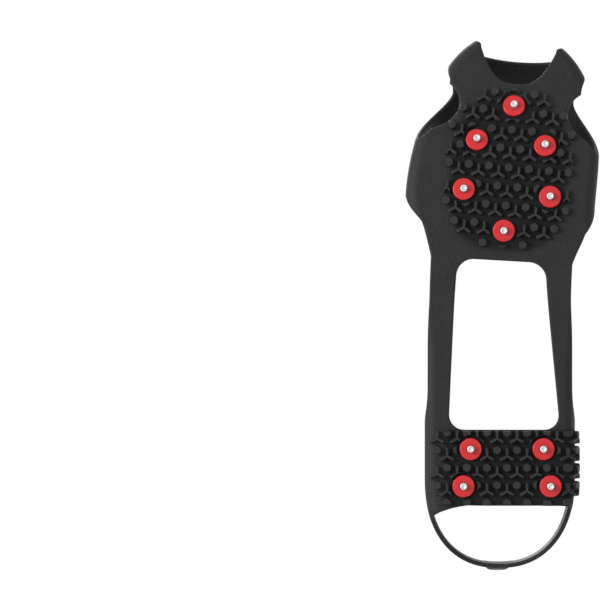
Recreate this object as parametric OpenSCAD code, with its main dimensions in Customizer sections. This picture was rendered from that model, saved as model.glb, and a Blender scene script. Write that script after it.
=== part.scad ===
// Slip-on ice cleat: a one-piece stretch rubber harness that grips the toe and
// heel of a boot, with a lugged tread and ten replaceable ice studs.
// Millimetres. +Y points to the toe, +X to the outer side of a right foot, +Z up.
// The origin is on the ground under the middle of the harness.

/* [Boot sole that the harness is stretched over] */
// Length of the boot sole, heel to toe
sole_len = 300; // [285:1:320]
// Half of the sole's width at the ball of the foot
ball_half = 51.4; // [46:0.1:56]
// Half of the sole's width at the heel and waist
heel_half = 40; // [38:0.1:45]
// Distance from the ball of the foot to the toe tip
toe_len = 93; // [88:0.5:98]
// Distance by which the ball stands out on the outer side of the foot
ball_lean = 3.2; // [0:0.1:5]
// Length of the round end of the heel
heel_round = 50; // [44:1:56]
// Radius of the edge between the sole's bottom and its side
edge_r = 4; // [3:0.1:6]
// Angle by which the forefoot turns inwards
toe_in = 5; // [0:0.5:8]
// Distance from the ball back to where the toe starts to rise
spring_back = 23; // [18:0.5:28]
// Radius of the bend where the toe rises
spring_r = 170; // [140:1:220]
// Angle of the toe above the ground
spring_deg = 20; // [10:0.5:24]
// Height of the toe box above the sole
toe_top = 60; // [52:0.5:68]
// Length of the round front of the toe box
toe_round = 41; // [36:0.5:48]

/* [Rubber harness] */
// Thickness of the rubber
rubber_t = 2.5; // [2:0.1:3.2]
// Depth of the notch that leaves the toe tip bare
toe_notch = 27.5; // [24:0.1:31]
// Distance from the toe tip to the front strap at the sole's edge
horn_gap = 5.5; // [4.5:0.1:8]
// Distance by which a horn of the front strap slants at the sole's edge
horn_slant = 2.5; // [0:0.1:5]
// Distance by which the front strap leans back at the top
front_lean = 8.5; // [5:0.1:14]
// Distance from the middle of the forefoot pad to a side window
window_in = 31; // [28:0.1:32]
// Distance from the toe tip to a side window's inner end
window_back = 44; // [42:0.1:46]
// Distance from the toe tip to a side window's top end
window_fore = 35.2; // [33:0.1:38]
// Half of a side window's width at the sole's edge
window_half = 20.3; // [16:0.1:21]
// Angle up the side at which a side window closes
window_top = 52; // [44:1:56]
// Distance from the ball back to the rear strap at the sole's edge
wing_back = 4; // [0:0.1:8]
// Distance by which the rear strap leans forward at the top
wing_lean = 32; // [28:0.1:42]
// Distance from the ball back to the forefoot pad's rear edge
pad_back = 34.5; // [30:0.1:38]
// Half of the sole window's width at the forefoot end
window_front_half = 24.7; // [22:0.1:27]
// Half of the sole window's width at the heel end
window_rear_half = 31.5; // [28:0.1:33]
// Radius of the sole window's corners
window_corner = 9; // [6:0.1:12]
// Half of the distance between the outer edges of the two side bars
bars_half = 40; // [38:0.1:42]
// Distance from the heel to the heel pad's front edge
heel_pad_front = 77; // [72:0.1:82]
// Length of the heel pad at its middle
heel_pad_len = 43; // [40:0.1:46]
// Distance from the heel to where the strap starts to climb the sole's side
strap_from = 100; // [92:1:108]
// Height of the heel strap's lower edge at the back
strap_low = 28.5; // [24:0.1:32]
// Height of the heel strap's upper edge at the back
strap_high = 56; // [50:0.1:62]
// Length of the pull tab above the heel strap
tab_len = 32; // [24:0.1:40]
// Distance by which the pull tab's end stands off the heel
tab_curl = 4; // [0:0.1:8]

/* [Tread] */
// Distance between neighbouring lugs across the foot
lug_pitch = 11.3; // [10.5:0.1:12.5]
// Distance between rows of lugs on the forefoot
fore_row = 10.5; // [9.5:0.1:11.5]
// Distance between rows of lugs on the heel
heel_row = 9.9; // [9:0.1:11]
// Height of a lug
lug_h = 2.8; // [2:0.1:3.4]
// Radius of a six-sided lug, to its corners
lug_r = 2.6; // [2:0.1:3]
// Length of one arm of a three-armed lug
arm_len = 4.4; // [3.5:0.1:4.8]
// Width of one arm of a three-armed lug
arm_w = 1.7; // [1.2:0.1:2.2]
// Half of the width at which the forefoot's tread is trimmed
tread_side = 35.6; // [32:0.1:38]
// Half of the width in which the forefoot's lugs have their middles
tread_half = 38.5; // [30:0.1:39]
// Half of the length in which the forefoot's lugs have their middles
tread_len_half = 45; // [38:0.1:46]
// Bare ring round each stud's button
stud_ring = 1.7; // [1:0.1:2.5]

/* [Studs] */
// Radius of the red button's outer disc
button_r = 6.25; // [5.5:0.05:7]
// Thickness of the outer disc
button_h = 2; // [1.6:0.1:2.4]
// Radius of the button's neck, in the rubber
neck_r = 3.2; // [2.9:0.05:3.6]
// Radius of the button's inner flange
flange_r = 5.2; // [4.6:0.05:6]
// Thickness of the inner flange
flange_h = 1.2; // [0.9:0.05:1.4]
// Radius of the steel spike
spike_r = 2; // [1.6:0.05:2.2]
// Distance from the rubber's outer face to the spike's tip
spike_out = 5; // [4:0.1:6]
// Radius of the spike's head
head_r = 2.9; // [2.6:0.05:3.1]
// Thickness of the spike's head
head_h = 0.7; // [0.5:0.05:0.9]
// Radial clearance of the spike in the button and of the button in the rubber
fit_gap = 0.03; // [0.02:0.01:0.1]
// Distance from the front edge of the forefoot pad to its first stud
stud_front = 13.5; // [12:0.1:16]
// Distance from the rear edge of the forefoot pad to its last stud
stud_rear = 16.8; // [14:0.1:19]
// Half of the distance between the studs of the second row
stud_half_2 = 19.3; // [16:0.1:22]
// Half of the distance between the studs of the third row
stud_half_3 = 24.4; // [20:0.1:27]
// Half of the distance between the front studs of the heel
stud_half_4 = 20.6; // [17:0.1:24]
// Half of the distance between the rear studs of the heel
stud_half_5 = 24.6; // [20:0.1:27]
// Distance from the heel pad's edges to its studs
stud_heel_edge = 11; // [9.5:0.1:13]
// Sideways place of the heel tread, towards the inner side of the foot
heel_shift = 4; // [0:0.1:6]

/* [Hidden] */
STUDS = 10;
function two(n) = n < 10 ? str("0", n) : str(n);

// Shape constants of the boot: the power of each rounded outline
heel_power = 2.3;
toe_power = 2.2;
cap_power = 1.6;
arch_power = 2.6;
vamp_slope = 0.18;
cap_overhang = 3;
waist_gap = 10;
turn_start = 77;
turn_end = 7;
wall_lean = 0.02;
step = 0.01;

// Places along the foot that follow from the sizes above
ball_y = sole_len - toe_len;
spring_y = ball_y - spring_back;
waist_y = strap_from + waist_gap;
turn_from = ball_y - turn_start;
turn_to = ball_y - turn_end;
toe_notch_y = sole_len - toe_notch;
horn_y = sole_len - horn_gap;
pad_rear_y = ball_y - pad_back;
wing_y = ball_y - wing_back;
heel_pad_rear = heel_pad_front - heel_pad_len;
edge_arc = edge_r * PI / 4;

function clip(v) = min(1, max(0, v));
function ease(v) = let (c = clip(v)) c * c * (3 - 2 * c);
function mix(a, b, f) = a + (b - a) * f;
function round_end(u, power) = pow(max(0, 1 - pow(clip(u), power)), 1 / power);
function spread(a, b, n) = [for (k = [0:n - 1]) mix(a, b, k / n)];
function unit(v) = v / norm(v);

// Half-width of the boot sole at a distance y from the heel
function half_width(y) =
    y < heel_round ? heel_half * round_end((heel_round - y) / heel_round, heel_power)
    : y < ball_y ? mix(heel_half, ball_half, ease((y - waist_y) / (ball_y - waist_y)))
    : ball_half * round_end((y - ball_y) / (sole_len - ball_y), toe_power);

// Height of the boot's top above the sole at a distance y from the heel
function top_height(y) =
    let (cap_y = sole_len + cap_overhang - toe_round)
    y < cap_y ? toe_top + vamp_slope * (cap_y - y)
    : toe_top * round_end((y - cap_y) / toe_round, cap_power);

// Rise and tilt of the sole at a distance y from the heel
function sole_tilt(y) =
    y <= spring_y ? 0
    : min(spring_deg, asin(min(1, (y - spring_y) / spring_r)));
function sole_rise(y) =
    let (d = y - spring_y, run = spring_r * sin(spring_deg))
    d <= 0 ? 0
    : d < run ? spring_r - sqrt(spring_r * spring_r - d * d)
    : spring_r * (1 - cos(spring_deg)) + (d - run) * tan(spring_deg);

// Turns a straight foot inwards at the forefoot, then lifts it with the toe
function turned(x, y, z) =
    let (
        length = turn_to - turn_from,
        f = clip((y - turn_from) / length),
        shift = length * (f * f * f - f * f * f * f / 2) + max(0, y - turn_to),
        across = x - tan(toe_in) * shift,
        along = y + x * sin(toe_in * ease(f))
    )
    [across, along, z + sole_rise(along)];

// Sideways lean of the sole's outline: none at the waist, most at the ball, none at the toe
lean_rise = 20;
lean_power = 4;
function outline_lean(y) =
    ball_lean * ease((y - ball_y + lean_rise) / lean_rise) * (1 - ease((y - ball_y) / (toe_len * 0.7)));

// Cross-section of the boot at y. Girth runs from 0 at the middle of the bottom
// to 1 at the edge's start, 2 at the edge's end and 3 at the middle of the top.
function section(y, girth) =
    let (
        w = half_width(y),
        r = min(edge_r, w / 2),
        h = top_height(y),
        a = 90 * (girth - 1),
        b = 90 * (girth - 2),
        reach = pow(pow(cos(b) / w, arch_power) + pow(sin(b) / (h - r), arch_power), -1 / arch_power)
    )
    girth <= 1 ? [(w - r) * girth, 0]
    : girth <= 2 ? [w - r + r * sin(a), r * (1 - cos(a))]
    : [reach * cos(b), r + reach * sin(b)];

// A point of the toe piece's inner face. A negative girth is the inner side of the foot.
function lean_share(girth) =
    girth <= 1 ? pow(girth, lean_power) : girth <= 2 ? 1 : cos(90 * (girth - 2));
function toe_point(girth, y) =
    let (s = section(y, abs(girth)))
    turned(sign(girth) * s[0] + outline_lean(y) * lean_share(abs(girth)), y, s[1]);
function toe_normal(girth, y) =
    let (
        g = max(-3 + step, min(3 - step, girth)),
        across = toe_point(g + step, y) - toe_point(g - step, y),
        along = toe_point(g, y + step) - toe_point(g, y - step)
    )
    -unit(cross(across, along));

// Edges of the toe piece at a girth: front, side window's two edges, rear
flat_half = half_width(pad_rear_y) - edge_r;
girth_bar_in = (window_front_half - window_corner) / flat_half;
girth_bar_out = bars_half / flat_half;
girth_window_in = window_in / (half_width(sole_len - window_back) - edge_r);
girth_window_mid = 2;
girth_window_top = 2 + window_top / 90;
strap_power = 1.5;
notch_power = 1.7;
wing_power = 0.8;
wing_share = 0.6;
window_low_power = 2.2;
window_high_power = 1.6;
window_lean_power = 4;

function up_lean(girth) = girth <= 2 ? 0 : pow(sin(90 * (girth - 2)), strap_power);
function front_edge(girth) =
    girth <= 1 ? mix(toe_notch_y, horn_y - horn_slant, pow(girth, notch_power))
    : girth <= 2 ? horn_y - horn_slant * (2 - girth)
    : horn_y - front_lean * up_lean(girth);
function rear_edge(girth) =
    let (edge_y = mix(pad_rear_y, wing_y, wing_share))
    girth <= girth_bar_out ? pad_rear_y
    : girth <= 1 ? mix(pad_rear_y, edge_y, pow((girth - girth_bar_out) / (1 - girth_bar_out), wing_power))
    : girth <= 2 ? mix(edge_y, wing_y, girth - 1)
    : wing_y + wing_lean * up_lean(girth);
function window_mid(girth) =
    let (share = clip((girth - girth_window_in) / (girth_window_top - girth_window_in)))
    mix(sole_len - window_back, sole_len - window_fore, pow(share, window_lean_power));
function window_open(girth) =
    girth <= girth_window_in || girth >= girth_window_top ? 0
    : girth < girth_window_mid
    ? window_half
      * round_end((girth_window_mid - girth) / (girth_window_mid - girth_window_in), window_low_power)
    : window_half
      * round_end((girth - girth_window_mid) / (girth_window_top - girth_window_mid), window_high_power);

// Columns of the toe piece round the foot, and rows from its front to its rear
bar_count = 4;
half_girths = concat(
    spread(0, girth_bar_in, 3),
    spread(girth_bar_in, girth_window_in, bar_count),
    spread(girth_window_in, girth_bar_out, 2 * bar_count),
    [for (k = [0:3]) mix(girth_bar_out, 1, k * k / 16)],
    spread(1, 2, 4),
    spread(2, girth_window_top, 8),
    spread(girth_window_top, 3, 7)
);
bar_first = 3;
window_first = bar_first + bar_count;
window_last = len(half_girths) - 7;
ring_half = len(half_girths);
ring_count = 2 * ring_half;
front_count = 4;
rear_count = 9;
row_count = front_count + rear_count + 2;

function ring_girth(j) =
    let (c = (j + ring_count) % ring_count)
    c < ring_half ? half_girths[c] : c == ring_half ? 3 : -half_girths[ring_count - c];
function ring_y(girth, row) =
    let (g = abs(girth))
    row <= front_count ? mix(front_edge(g), window_mid(g) + window_open(g), row / front_count)
    : mix(window_mid(g) - window_open(g), rear_edge(g), (row - front_count - 1) / rear_count);

// Outline of the boot sole's rear half. Place runs from the forefoot pad's rear
// edge down to 0 at the middle of the heel's back; a sign picks the side.
function heel_angle(place) = 90 * (1 - clip(place / heel_round));
function outline(place) =
    place >= heel_round ? [half_width(place), place]
    : let (a = heel_angle(place), e = 2 / heel_power)
      [heel_half * pow(cos(a), e), heel_round * (1 - pow(sin(a), e))];
function inward(place) =
    place >= heel_round ? [-1, 0]
    : place < step ? [0, 1]
    : let (t = unit(outline(place + step) - outline(place - min(step, place)))) [-t[1], t[0]];

// A point of the strap at a climb measured round the sole's edge: negative on
// the bottom, 0 at the middle of the edge, positive up the side.
function strap_local(place, climb) =
    let (
        o = outline(abs(place)),
        n = inward(abs(place)),
        a = (climb + edge_arc) / edge_r * 180 / PI,
        inside = climb < -edge_arc ? edge_r - edge_arc - climb
            : climb <= edge_arc ? edge_r * (1 - sin(a))
            : wall_lean * (climb - edge_arc),
        z = climb < -edge_arc ? 0
            : climb <= edge_arc ? edge_r * (1 - cos(a))
            : edge_r + climb - edge_arc
    )
    [o[0] + n[0] * inside, o[1] + n[1] * inside, z];
function strap_point(side, place, climb) =
    let (p = strap_local(place, climb))
    turned(side * p[0], p[1], p[2]);
function strap_normal(side, place, climb) =
    let (
        p = max(step, place),
        along = strap_point(side, p + step, climb) - strap_point(side, p - step, climb),
        up = strap_point(side, p, climb + step) - strap_point(side, p, climb - step)
    )
    place < step ? [0, -1, 0] : side * unit(cross(along, up));
function climb_at(place, x) = -(half_width(place) - x - edge_r) - edge_arc;

// Inner edge of a side bar: straight, with round corners at both ends of the sole window
function corner_drop(d) = window_corner * (1 - round_end((window_corner - d) / window_corner, 2));
function window_side(y) =
    mix(window_front_half, window_rear_half, (pad_rear_y - y) / (pad_rear_y - heel_pad_front))
    - corner_drop(pad_rear_y - y) - corner_drop(y - heel_pad_front);

// Lower edge of the strap: the bar's inner edge, then a line under the heel pad, then
// a curve that climbs from the pad's rear corner to the back of the heel
heel_pad_corner = 0.78 * heel_round;
heel_pad_side = window_rear_half - window_corner;
low_power = 2.1;
function strap_lower(place) =
    place >= heel_pad_front ? climb_at(place, window_side(place))
    : let (start = climb_at(heel_pad_front, heel_pad_side))
      mix(start, strap_low, round_end(place / heel_pad_corner, low_power));

// Upper edge of the strap: the bar's outer edge, then a curve up to the back of the heel
high_power = 1.15;
function strap_upper(place) =
    let (start = climb_at(place < waist_y ? waist_y : place, bars_half))
    mix(start, strap_high, ease(pow(clip(1 - place / strap_from), high_power)));

corner_span = 1.5 * window_corner;
heel_span = 6;
side_places = concat(
    [for (k = [0:4]) pad_rear_y - corner_span * pow(k / 5, 2)],
    spread(pad_rear_y - corner_span, heel_pad_front + corner_span, 6),
    [for (k = [0:4]) heel_pad_front + corner_span * pow(1 - k / 5, 2)],
    spread(heel_pad_front, heel_pad_corner, 5),
    [for (k = [0:3]) heel_pad_corner - heel_span * pow(k / 4, 2)],
    spread(heel_pad_corner - heel_span, 0, 11)
);
pad_first = 16;
pad_last = 21;
strap_half = len(side_places);
strap_count = 2 * strap_half;
line_count = 3 * bar_count;

function strap_side(i) = i <= strap_half ? 1 : -1;
function strap_place(i) =
    i < strap_half ? side_places[i] : i == strap_half ? 0 : side_places[strap_count - i];

// Climb of one of the strap's lines. A third of the lines keeps to the bottom, a third to
// the sole's edge and a third to the side, as far as the strap's two edges leave room.
bar_share = (girth_window_in - girth_bar_in) / (girth_bar_out - girth_bar_in);
least_share = 0.16;
function between(v, low, high) = min(high, max(low, v));
function strap_climb(place, k) =
    let (
        low = strap_lower(place),
        high = strap_upper(place),
        wide = high - low,
        b = between(-edge_arc, low + least_share * wide, high - (1 - bar_share) * wide),
        c = between(edge_arc, b + least_share * wide, high - (1 - bar_share) * wide / 2),
        n = bar_count
    )
    k <= n ? mix(low, b, k / n)
    : k <= 2 * n ? mix(b, c, (k - n) / n)
    : mix(c, high, (k - 2 * n) / n);

// The pull tab goes on up from the strap's upper edge and curls away from the heel
tab_count = 2;
tab_row_count = 6;
tab_first = strap_half - tab_count;
tab_last = strap_half + tab_count;
tab_corner = 0.22;
function tab_point(i, row) =
    let (
        side = strap_side(i),
        place = strap_place(i),
        off = abs(i - strap_half) / tab_count,
        up = tab_len * (1 - tab_corner * pow(off, 4)) * row / tab_row_count,
        p = strap_point(side, place, strap_upper(place) + up)
    )
    [p[0] * (1 - 0.12 * row / tab_row_count), p[1] - tab_curl * pow(row / tab_row_count, 2), p[2]];
function tab_normal(i, row) =
    let (
        place = strap_place(i),
        n = strap_normal(strap_side(i), place, strap_upper(place) + 1),
        fall = atan(2 * tab_curl * row / tab_row_count / tab_len)
    )
    unit([n[0], n[1] * cos(fall), -sin(fall)]);

// All points of the harness, inner face first: toe piece, strap, heel pad, pull tab
pad_count = 8;
ring_ids = ring_count * row_count;
strap_ids = (strap_count - 1) * (line_count + 1);
pad_ids = (pad_last - pad_first + 1) * (pad_count - 1);
tab_ids = tab_row_count * (2 * tab_count + 1);
all_ids = ring_ids + strap_ids + pad_ids + tab_ids;

function ring_id(j, row) =
    let (c = (j + ring_count) % ring_count, k = c <= ring_half ? c : ring_count - c)
    c * row_count
    + (row == front_count + 1 && (k <= window_first || k >= window_last) ? front_count : row);
function strap_id(i, k) =
    i == 0 ? ring_id(bar_first + k, row_count - 1)
    : i == strap_count ? ring_id(ring_count - bar_first - k, row_count - 1)
    : ring_ids + (i - 1) * (line_count + 1) + k;
function pad_id(i, c) =
    c == 0 ? strap_id(i, 0)
    : c == pad_count ? strap_id(strap_count - i, 0)
    : ring_ids + strap_ids + (i - pad_first) * (pad_count - 1) + c - 1;
function tab_id(i, row) =
    row == 0 ? strap_id(i, line_count)
    : ring_ids + strap_ids + pad_ids + (row - 1) * (2 * tab_count + 1) + i - tab_first;

pad_bow_power = 4;
function pad_point(i, c) =
    let (
        place = strap_place(i),
        p = strap_point(1, place, strap_lower(place)),
        q = strap_point(-1, place, strap_lower(place)),
        share = (i - pad_first) / (pad_last - pad_first),
        bow = 1 - pow(2 * c / pad_count - 1, pad_bow_power),
        straight = mix(p, q, c / pad_count),
        flat_y = mix(heel_pad_front, heel_pad_rear, share)
    )
    straight + [0, (flat_y - straight[1]) * bow, 0];

// Each entry is [point, outward normal]
skin = concat(
    [for (j = [0:ring_count - 1]) for (row = [0:row_count - 1])
        let (g = ring_girth(j), y = ring_y(g, row))
        [toe_point(g, y), toe_normal(g, y)]],
    [for (i = [1:strap_count - 1]) for (k = [0:line_count])
        let (s = strap_side(i), p = strap_place(i), c = strap_climb(p, k))
        [strap_point(s, p, c), strap_normal(s, p, c)]],
    [for (i = [pad_first:pad_last]) for (c = [1:pad_count - 1]) [pad_point(i, c), [0, 0, -1]]],
    [for (row = [1:tab_row_count]) for (i = [tab_first:tab_last]) [tab_point(i, row), tab_normal(i, row)]]
);
shell_points = concat([for (s = skin) s[0]], [for (s = skin) s[0] + rubber_t * s[1]]);

// Two triangles for each four-sided cell, on the outer face and reversed on the inner one
function cell(a, b, c, d) = [
    [a + all_ids, b + all_ids, c + all_ids],
    [a + all_ids, c + all_ids, d + all_ids],
    [a, c, b],
    [a, d, c]
];
function rim(a, b) = [[a + all_ids, b + all_ids, b], [a + all_ids, b, a]];

ring_row_list = [for (row = [0:row_count - 2]) if (row != front_count) row];
function window_cell(j) =
    let (k = j < ring_half ? j : ring_count - 1 - j)
    k >= window_first && k < window_last;
function bar_cell(j) =
    let (k = j < ring_half ? j : ring_count - 1 - j)
    k >= bar_first && k < bar_first + line_count;

shell_faces = concat(
    [for (j = [0:ring_count - 1]) for (r = ring_row_list)
        each cell(ring_id(j, r), ring_id(j, r + 1), ring_id(j + 1, r + 1), ring_id(j + 1, r))],
    [for (j = [0:ring_count - 1]) each rim(ring_id(j, 0), ring_id(j + 1, 0))],
    [for (j = [0:ring_count - 1]) if (!bar_cell(j))
        each rim(ring_id(j + 1, row_count - 1), ring_id(j, row_count - 1))],
    [for (j = [0:ring_count - 1]) if (window_cell(j))
        each rim(ring_id(j + 1, front_count), ring_id(j, front_count))],
    [for (j = [0:ring_count - 1]) if (window_cell(j))
        each rim(ring_id(j, front_count + 1), ring_id(j + 1, front_count + 1))],
    [for (i = [0:strap_count - 1]) for (k = [0:line_count - 1])
        each cell(strap_id(i, k), strap_id(i + 1, k), strap_id(i + 1, k + 1), strap_id(i, k + 1))],
    [for (i = [0:strap_count - 1])
        if ((i < pad_first || i >= pad_last) && (i < strap_count - pad_last || i >= strap_count - pad_first))
        each rim(strap_id(i + 1, 0), strap_id(i, 0))],
    [for (i = [0:strap_count - 1]) if (i < tab_first || i >= tab_last)
        each rim(strap_id(i, line_count), strap_id(i + 1, line_count))],
    [for (i = [pad_first:pad_last - 1]) for (c = [0:pad_count - 1])
        each cell(pad_id(i, c), pad_id(i, c + 1), pad_id(i + 1, c + 1), pad_id(i + 1, c))],
    [for (c = [0:pad_count - 1]) each rim(pad_id(pad_first, c + 1), pad_id(pad_first, c))],
    [for (c = [0:pad_count - 1]) each rim(pad_id(pad_last, c), pad_id(pad_last, c + 1))],
    [for (row = [0:tab_row_count - 1]) for (i = [tab_first:tab_last - 1])
        each cell(tab_id(i, row), tab_id(i + 1, row), tab_id(i + 1, row + 1), tab_id(i, row + 1))],
    [for (i = [tab_first:tab_last - 1]) each rim(tab_id(i, tab_row_count), tab_id(i + 1, tab_row_count))],
    [for (row = [0:tab_row_count - 1]) each rim(tab_id(tab_first, row), tab_id(tab_first, row + 1))],
    [for (row = [0:tab_row_count - 1]) each rim(tab_id(tab_last, row + 1), tab_id(tab_last, row))]
);

// The origin: under the middle of the harness's box, on the ground
function middle(axis) =
    let (v = [for (p = shell_points) p[axis]])
    (max(v) + min(v)) / 2;
sole_z = spike_out + rubber_t;
module placed() translate([-middle(0), -middle(1), sole_z]) children();

// Moves to a place on the sole's inner face, with +Z square to the rubber. A place past the
// flat bottom goes on round the sole's edge and up its side, measured on the outer face.
outer_r = edge_r + rubber_t;
module on_sole(x, y) {
    flat = half_width(y) - edge_r;
    over = max(0, abs(x) - flat);
    a = min(90, over / outer_r * 180 / PI);
    up = max(0, over - outer_r * PI / 2);
    p = turned(sign(x) * (min(abs(x), flat) + edge_r * sin(a)), y, edge_r * (1 - cos(a)) + up);
    translate(p)
        rotate([sole_tilt(p[1]), -sign(x) * a, 0])
            rotate(y > pad_rear_y ? toe_in : 0)
                children();
}

// Studs: two single ones and two pairs on the forefoot, two pairs on the heel
fore_stud_y = toe_notch_y - stud_front;
rear_stud_y = pad_rear_y + stud_rear;
second_share = 0.3;
third_share = 0.7;
heel_tread_y = (heel_pad_front + heel_pad_rear) / 2;
stud_places = [
    [0, fore_stud_y],
    [stud_half_2, mix(fore_stud_y, rear_stud_y, second_share)],
    [-stud_half_2, mix(fore_stud_y, rear_stud_y, second_share)],
    [stud_half_3, mix(fore_stud_y, rear_stud_y, third_share)],
    [-stud_half_3, mix(fore_stud_y, rear_stud_y, third_share)],
    [0, rear_stud_y],
    [stud_half_4 - heel_shift, heel_pad_front - stud_heel_edge],
    [-stud_half_4 - heel_shift, heel_pad_front - stud_heel_edge],
    [stud_half_5 - heel_shift, heel_pad_rear + stud_heel_edge],
    [-stud_half_5 - heel_shift, heel_pad_rear + stud_heel_edge]
];

// Tread lugs: six-sided ones on a triangular grid, three-armed ones between them
lug_root = 0.6;
stud_clear = button_r + stud_ring;
fore_tread_y = mix(fore_stud_y, rear_stud_y, 0.5);
tread_edge_power = 2.2;

module six_lug() rotate(30) circle(r = lug_r, $fn = 6);
module three_lug() {
    for (a = [90, 210, 330])
        rotate(a) translate([-arm_w * 0.25, -arm_w / 2]) square([arm_len + arm_w * 0.25, arm_w]);
}

// One lug at a grid place, trimmed by the tread's edges and by the bare rings of nearby studs
lug_edge = 0.8;
module lug(x, y, reach, studs, low, high, side) {
    near = [for (s = studs) if (norm(s - [x, y]) < stud_clear + reach) s - [x, y]];
    blocked = [for (s = near) if (norm(s) < stud_clear - reach * 0.35) s];
    if (len(blocked) == 0)
        on_sole(x, y)
            translate([0, 0, -rubber_t - lug_h])
                linear_extrude(lug_h + lug_root)
                    intersection() {
                        difference() {
                            children();
                            for (s = near) translate(s) circle(r = stud_clear, $fn = 64);
                        }
                        translate([-side - x, low + lug_edge - y])
                            square([2 * side, high - low - 2 * lug_edge]);
                    }
}

// Which grid places take a lug: an oval on the forefoot, the whole pad on the heel
outer_wrap = 3;
inner_wrap = 14;
function in_fore_tread(x, y) =
    pow(abs(x) / tread_half, tread_edge_power)
    + pow(abs(y - fore_tread_y) / tread_len_half, tread_edge_power) <= 1;
function in_heel_tread(x, y, reach) =
    let (flat = half_width(y) - edge_r, up = abs(x) - flat - outer_r * PI / 2 + reach)
    x <= flat + outer_wrap && x >= -flat - inner_wrap
    && up < strap_upper(y) - edge_arc
    && y < heel_pad_front + reach - 2 * lug_edge && y > heel_pad_rear - reach + 2 * lug_edge;

module tread(x0, y0, row, rows, columns, studs, fore) {
    low = fore ? pad_rear_y : heel_pad_rear;
    high = fore ? sole_len : heel_pad_front;
    side = fore ? tread_side : 2 * heel_half;
    for (r = [-rows:rows]) for (c = [-columns:columns]) {
        x = x0 + (c + (r % 2 == 0 ? 0 : 0.5)) * lug_pitch;
        y = y0 + r * row;
        star = [x + lug_pitch / 2, y - row / 3];
        if (fore ? in_fore_tread(x, y) : in_heel_tread(x, y, lug_r))
            lug(x, y, lug_r, studs, low, high, side) six_lug();
        if (fore ? in_fore_tread(star[0], star[1]) : in_heel_tread(star[0], star[1], lug_r))
            lug(star[0], star[1], arm_len, studs, low, high, side) three_lug();
    }
}

fore_studs = [for (n = [0:5]) stud_places[n]];
heel_studs = [for (n = [6:9]) stud_places[n]];

module stud_bore(place) {
    over = 3;
    on_sole(place[0], place[1]) {
        translate([0, 0, -rubber_t - over])
            cylinder(r = neck_r + fit_gap, h = rubber_t + 2 * over, $fn = 64);
        translate([0, 0, -flange_h - fit_gap])
            cylinder(r = flange_r + fit_gap, h = flange_h + over, $fn = 64);
    }
}

module harness() color("#2b2d2e") placed() difference() {
    union() {
        polyhedron(shell_points, shell_faces, convexity = 10);
        tread(0, fore_tread_y, fore_row, 4, 4, fore_studs, true);
        tread(-heel_shift, heel_tread_y, heel_row, 2, 5, heel_studs, false);
    }
    for (place = stud_places) stud_bore(place);
}

// The red button: outer disc, neck through the rubber and inner flange, bored for the spike
button_round = 0.5;
module stud_button(n) {
    bore = spike_r + fit_gap;
    head = head_r + fit_gap;
    out = -rubber_t - button_h;
    color("#d8232a") placed() on_sole(stud_places[n - 1][0], stud_places[n - 1][1])
        rotate_extrude($fn = 96) difference() {
            union() {
                translate([bore, -flange_h]) square([flange_r - bore, flange_h]);
                translate([bore, -rubber_t - fit_gap]) square([neck_r - bore, rubber_t]);
                translate([bore, out]) square([button_r - button_round - bore, button_h - fit_gap]);
                translate([button_r - 2 * button_round, out + button_round])
                    square([2 * button_round, button_h - button_round - fit_gap]);
                translate([button_r - button_round, out + button_round]) circle(r = button_round, $fn = 48);
            }
            translate([bore - 1, -head_h - fit_gap]) square([head - bore + 1, head_h + 1]);
        }
}

// The steel spike: a flat head on the boot's side, a shank and a hollow-ended tip
tip_chamfer = 0.45;
tip_hollow_r = 1.1;
tip_hollow = 0.5;
module steel_spike(n) {
    tip = -rubber_t - spike_out;
    color("#c9ccd0") placed() on_sole(stud_places[n - 1][0], stud_places[n - 1][1])
        rotate_extrude($fn = 96) polygon([
            [0, 0],
            [head_r, 0],
            [head_r, -head_h],
            [spike_r, -head_h],
            [spike_r, tip + tip_chamfer],
            [spike_r - tip_chamfer, tip],
            [tip_hollow_r, tip],
            [0, tip + tip_hollow]
        ]);
}

harness();
for (n = [1:STUDS]) {
    stud_button(n);
    steel_spike(n);
}
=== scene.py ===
import math

import bmesh
import bpy
import numpy as np
from bpy.props import FloatProperty, FloatVectorProperty, PointerProperty
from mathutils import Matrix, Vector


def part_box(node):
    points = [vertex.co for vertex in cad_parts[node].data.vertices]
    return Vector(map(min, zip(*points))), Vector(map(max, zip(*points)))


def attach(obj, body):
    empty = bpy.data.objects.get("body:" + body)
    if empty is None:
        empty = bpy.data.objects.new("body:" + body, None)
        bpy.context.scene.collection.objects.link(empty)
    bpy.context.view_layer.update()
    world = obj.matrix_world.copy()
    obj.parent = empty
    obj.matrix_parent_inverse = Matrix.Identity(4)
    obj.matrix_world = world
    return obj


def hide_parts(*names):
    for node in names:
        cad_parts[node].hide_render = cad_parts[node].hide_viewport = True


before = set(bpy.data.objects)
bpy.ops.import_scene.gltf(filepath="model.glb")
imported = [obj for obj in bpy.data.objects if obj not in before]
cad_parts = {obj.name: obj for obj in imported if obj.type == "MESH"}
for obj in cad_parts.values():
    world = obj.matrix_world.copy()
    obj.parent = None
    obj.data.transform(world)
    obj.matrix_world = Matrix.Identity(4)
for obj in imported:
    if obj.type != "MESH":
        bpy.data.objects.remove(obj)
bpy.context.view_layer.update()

bl_info = {
    "name": "Ice Cleat",
    "version": (1, 0, 0),
    "blender": (4, 5, 0),
    "location": "View3D > Sidebar > Ice Cleat",
    "description": "Builds a stretch rubber ice cleat with a lugged tread and steel studs",
    "category": "Add Mesh",
}

MM = 0.001
ROOT = "root"
STUD_COUNT = 10

# Sizes are in millimetres on a boot form: y from the heel's back, x to the outer side, z from the sole
RUBBER = 2.5
LUG_HEIGHT = 2.8
BUTTON_R = 6.25
SPIKE_R = 2.0
SPIKE_OUT = 5.0

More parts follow.
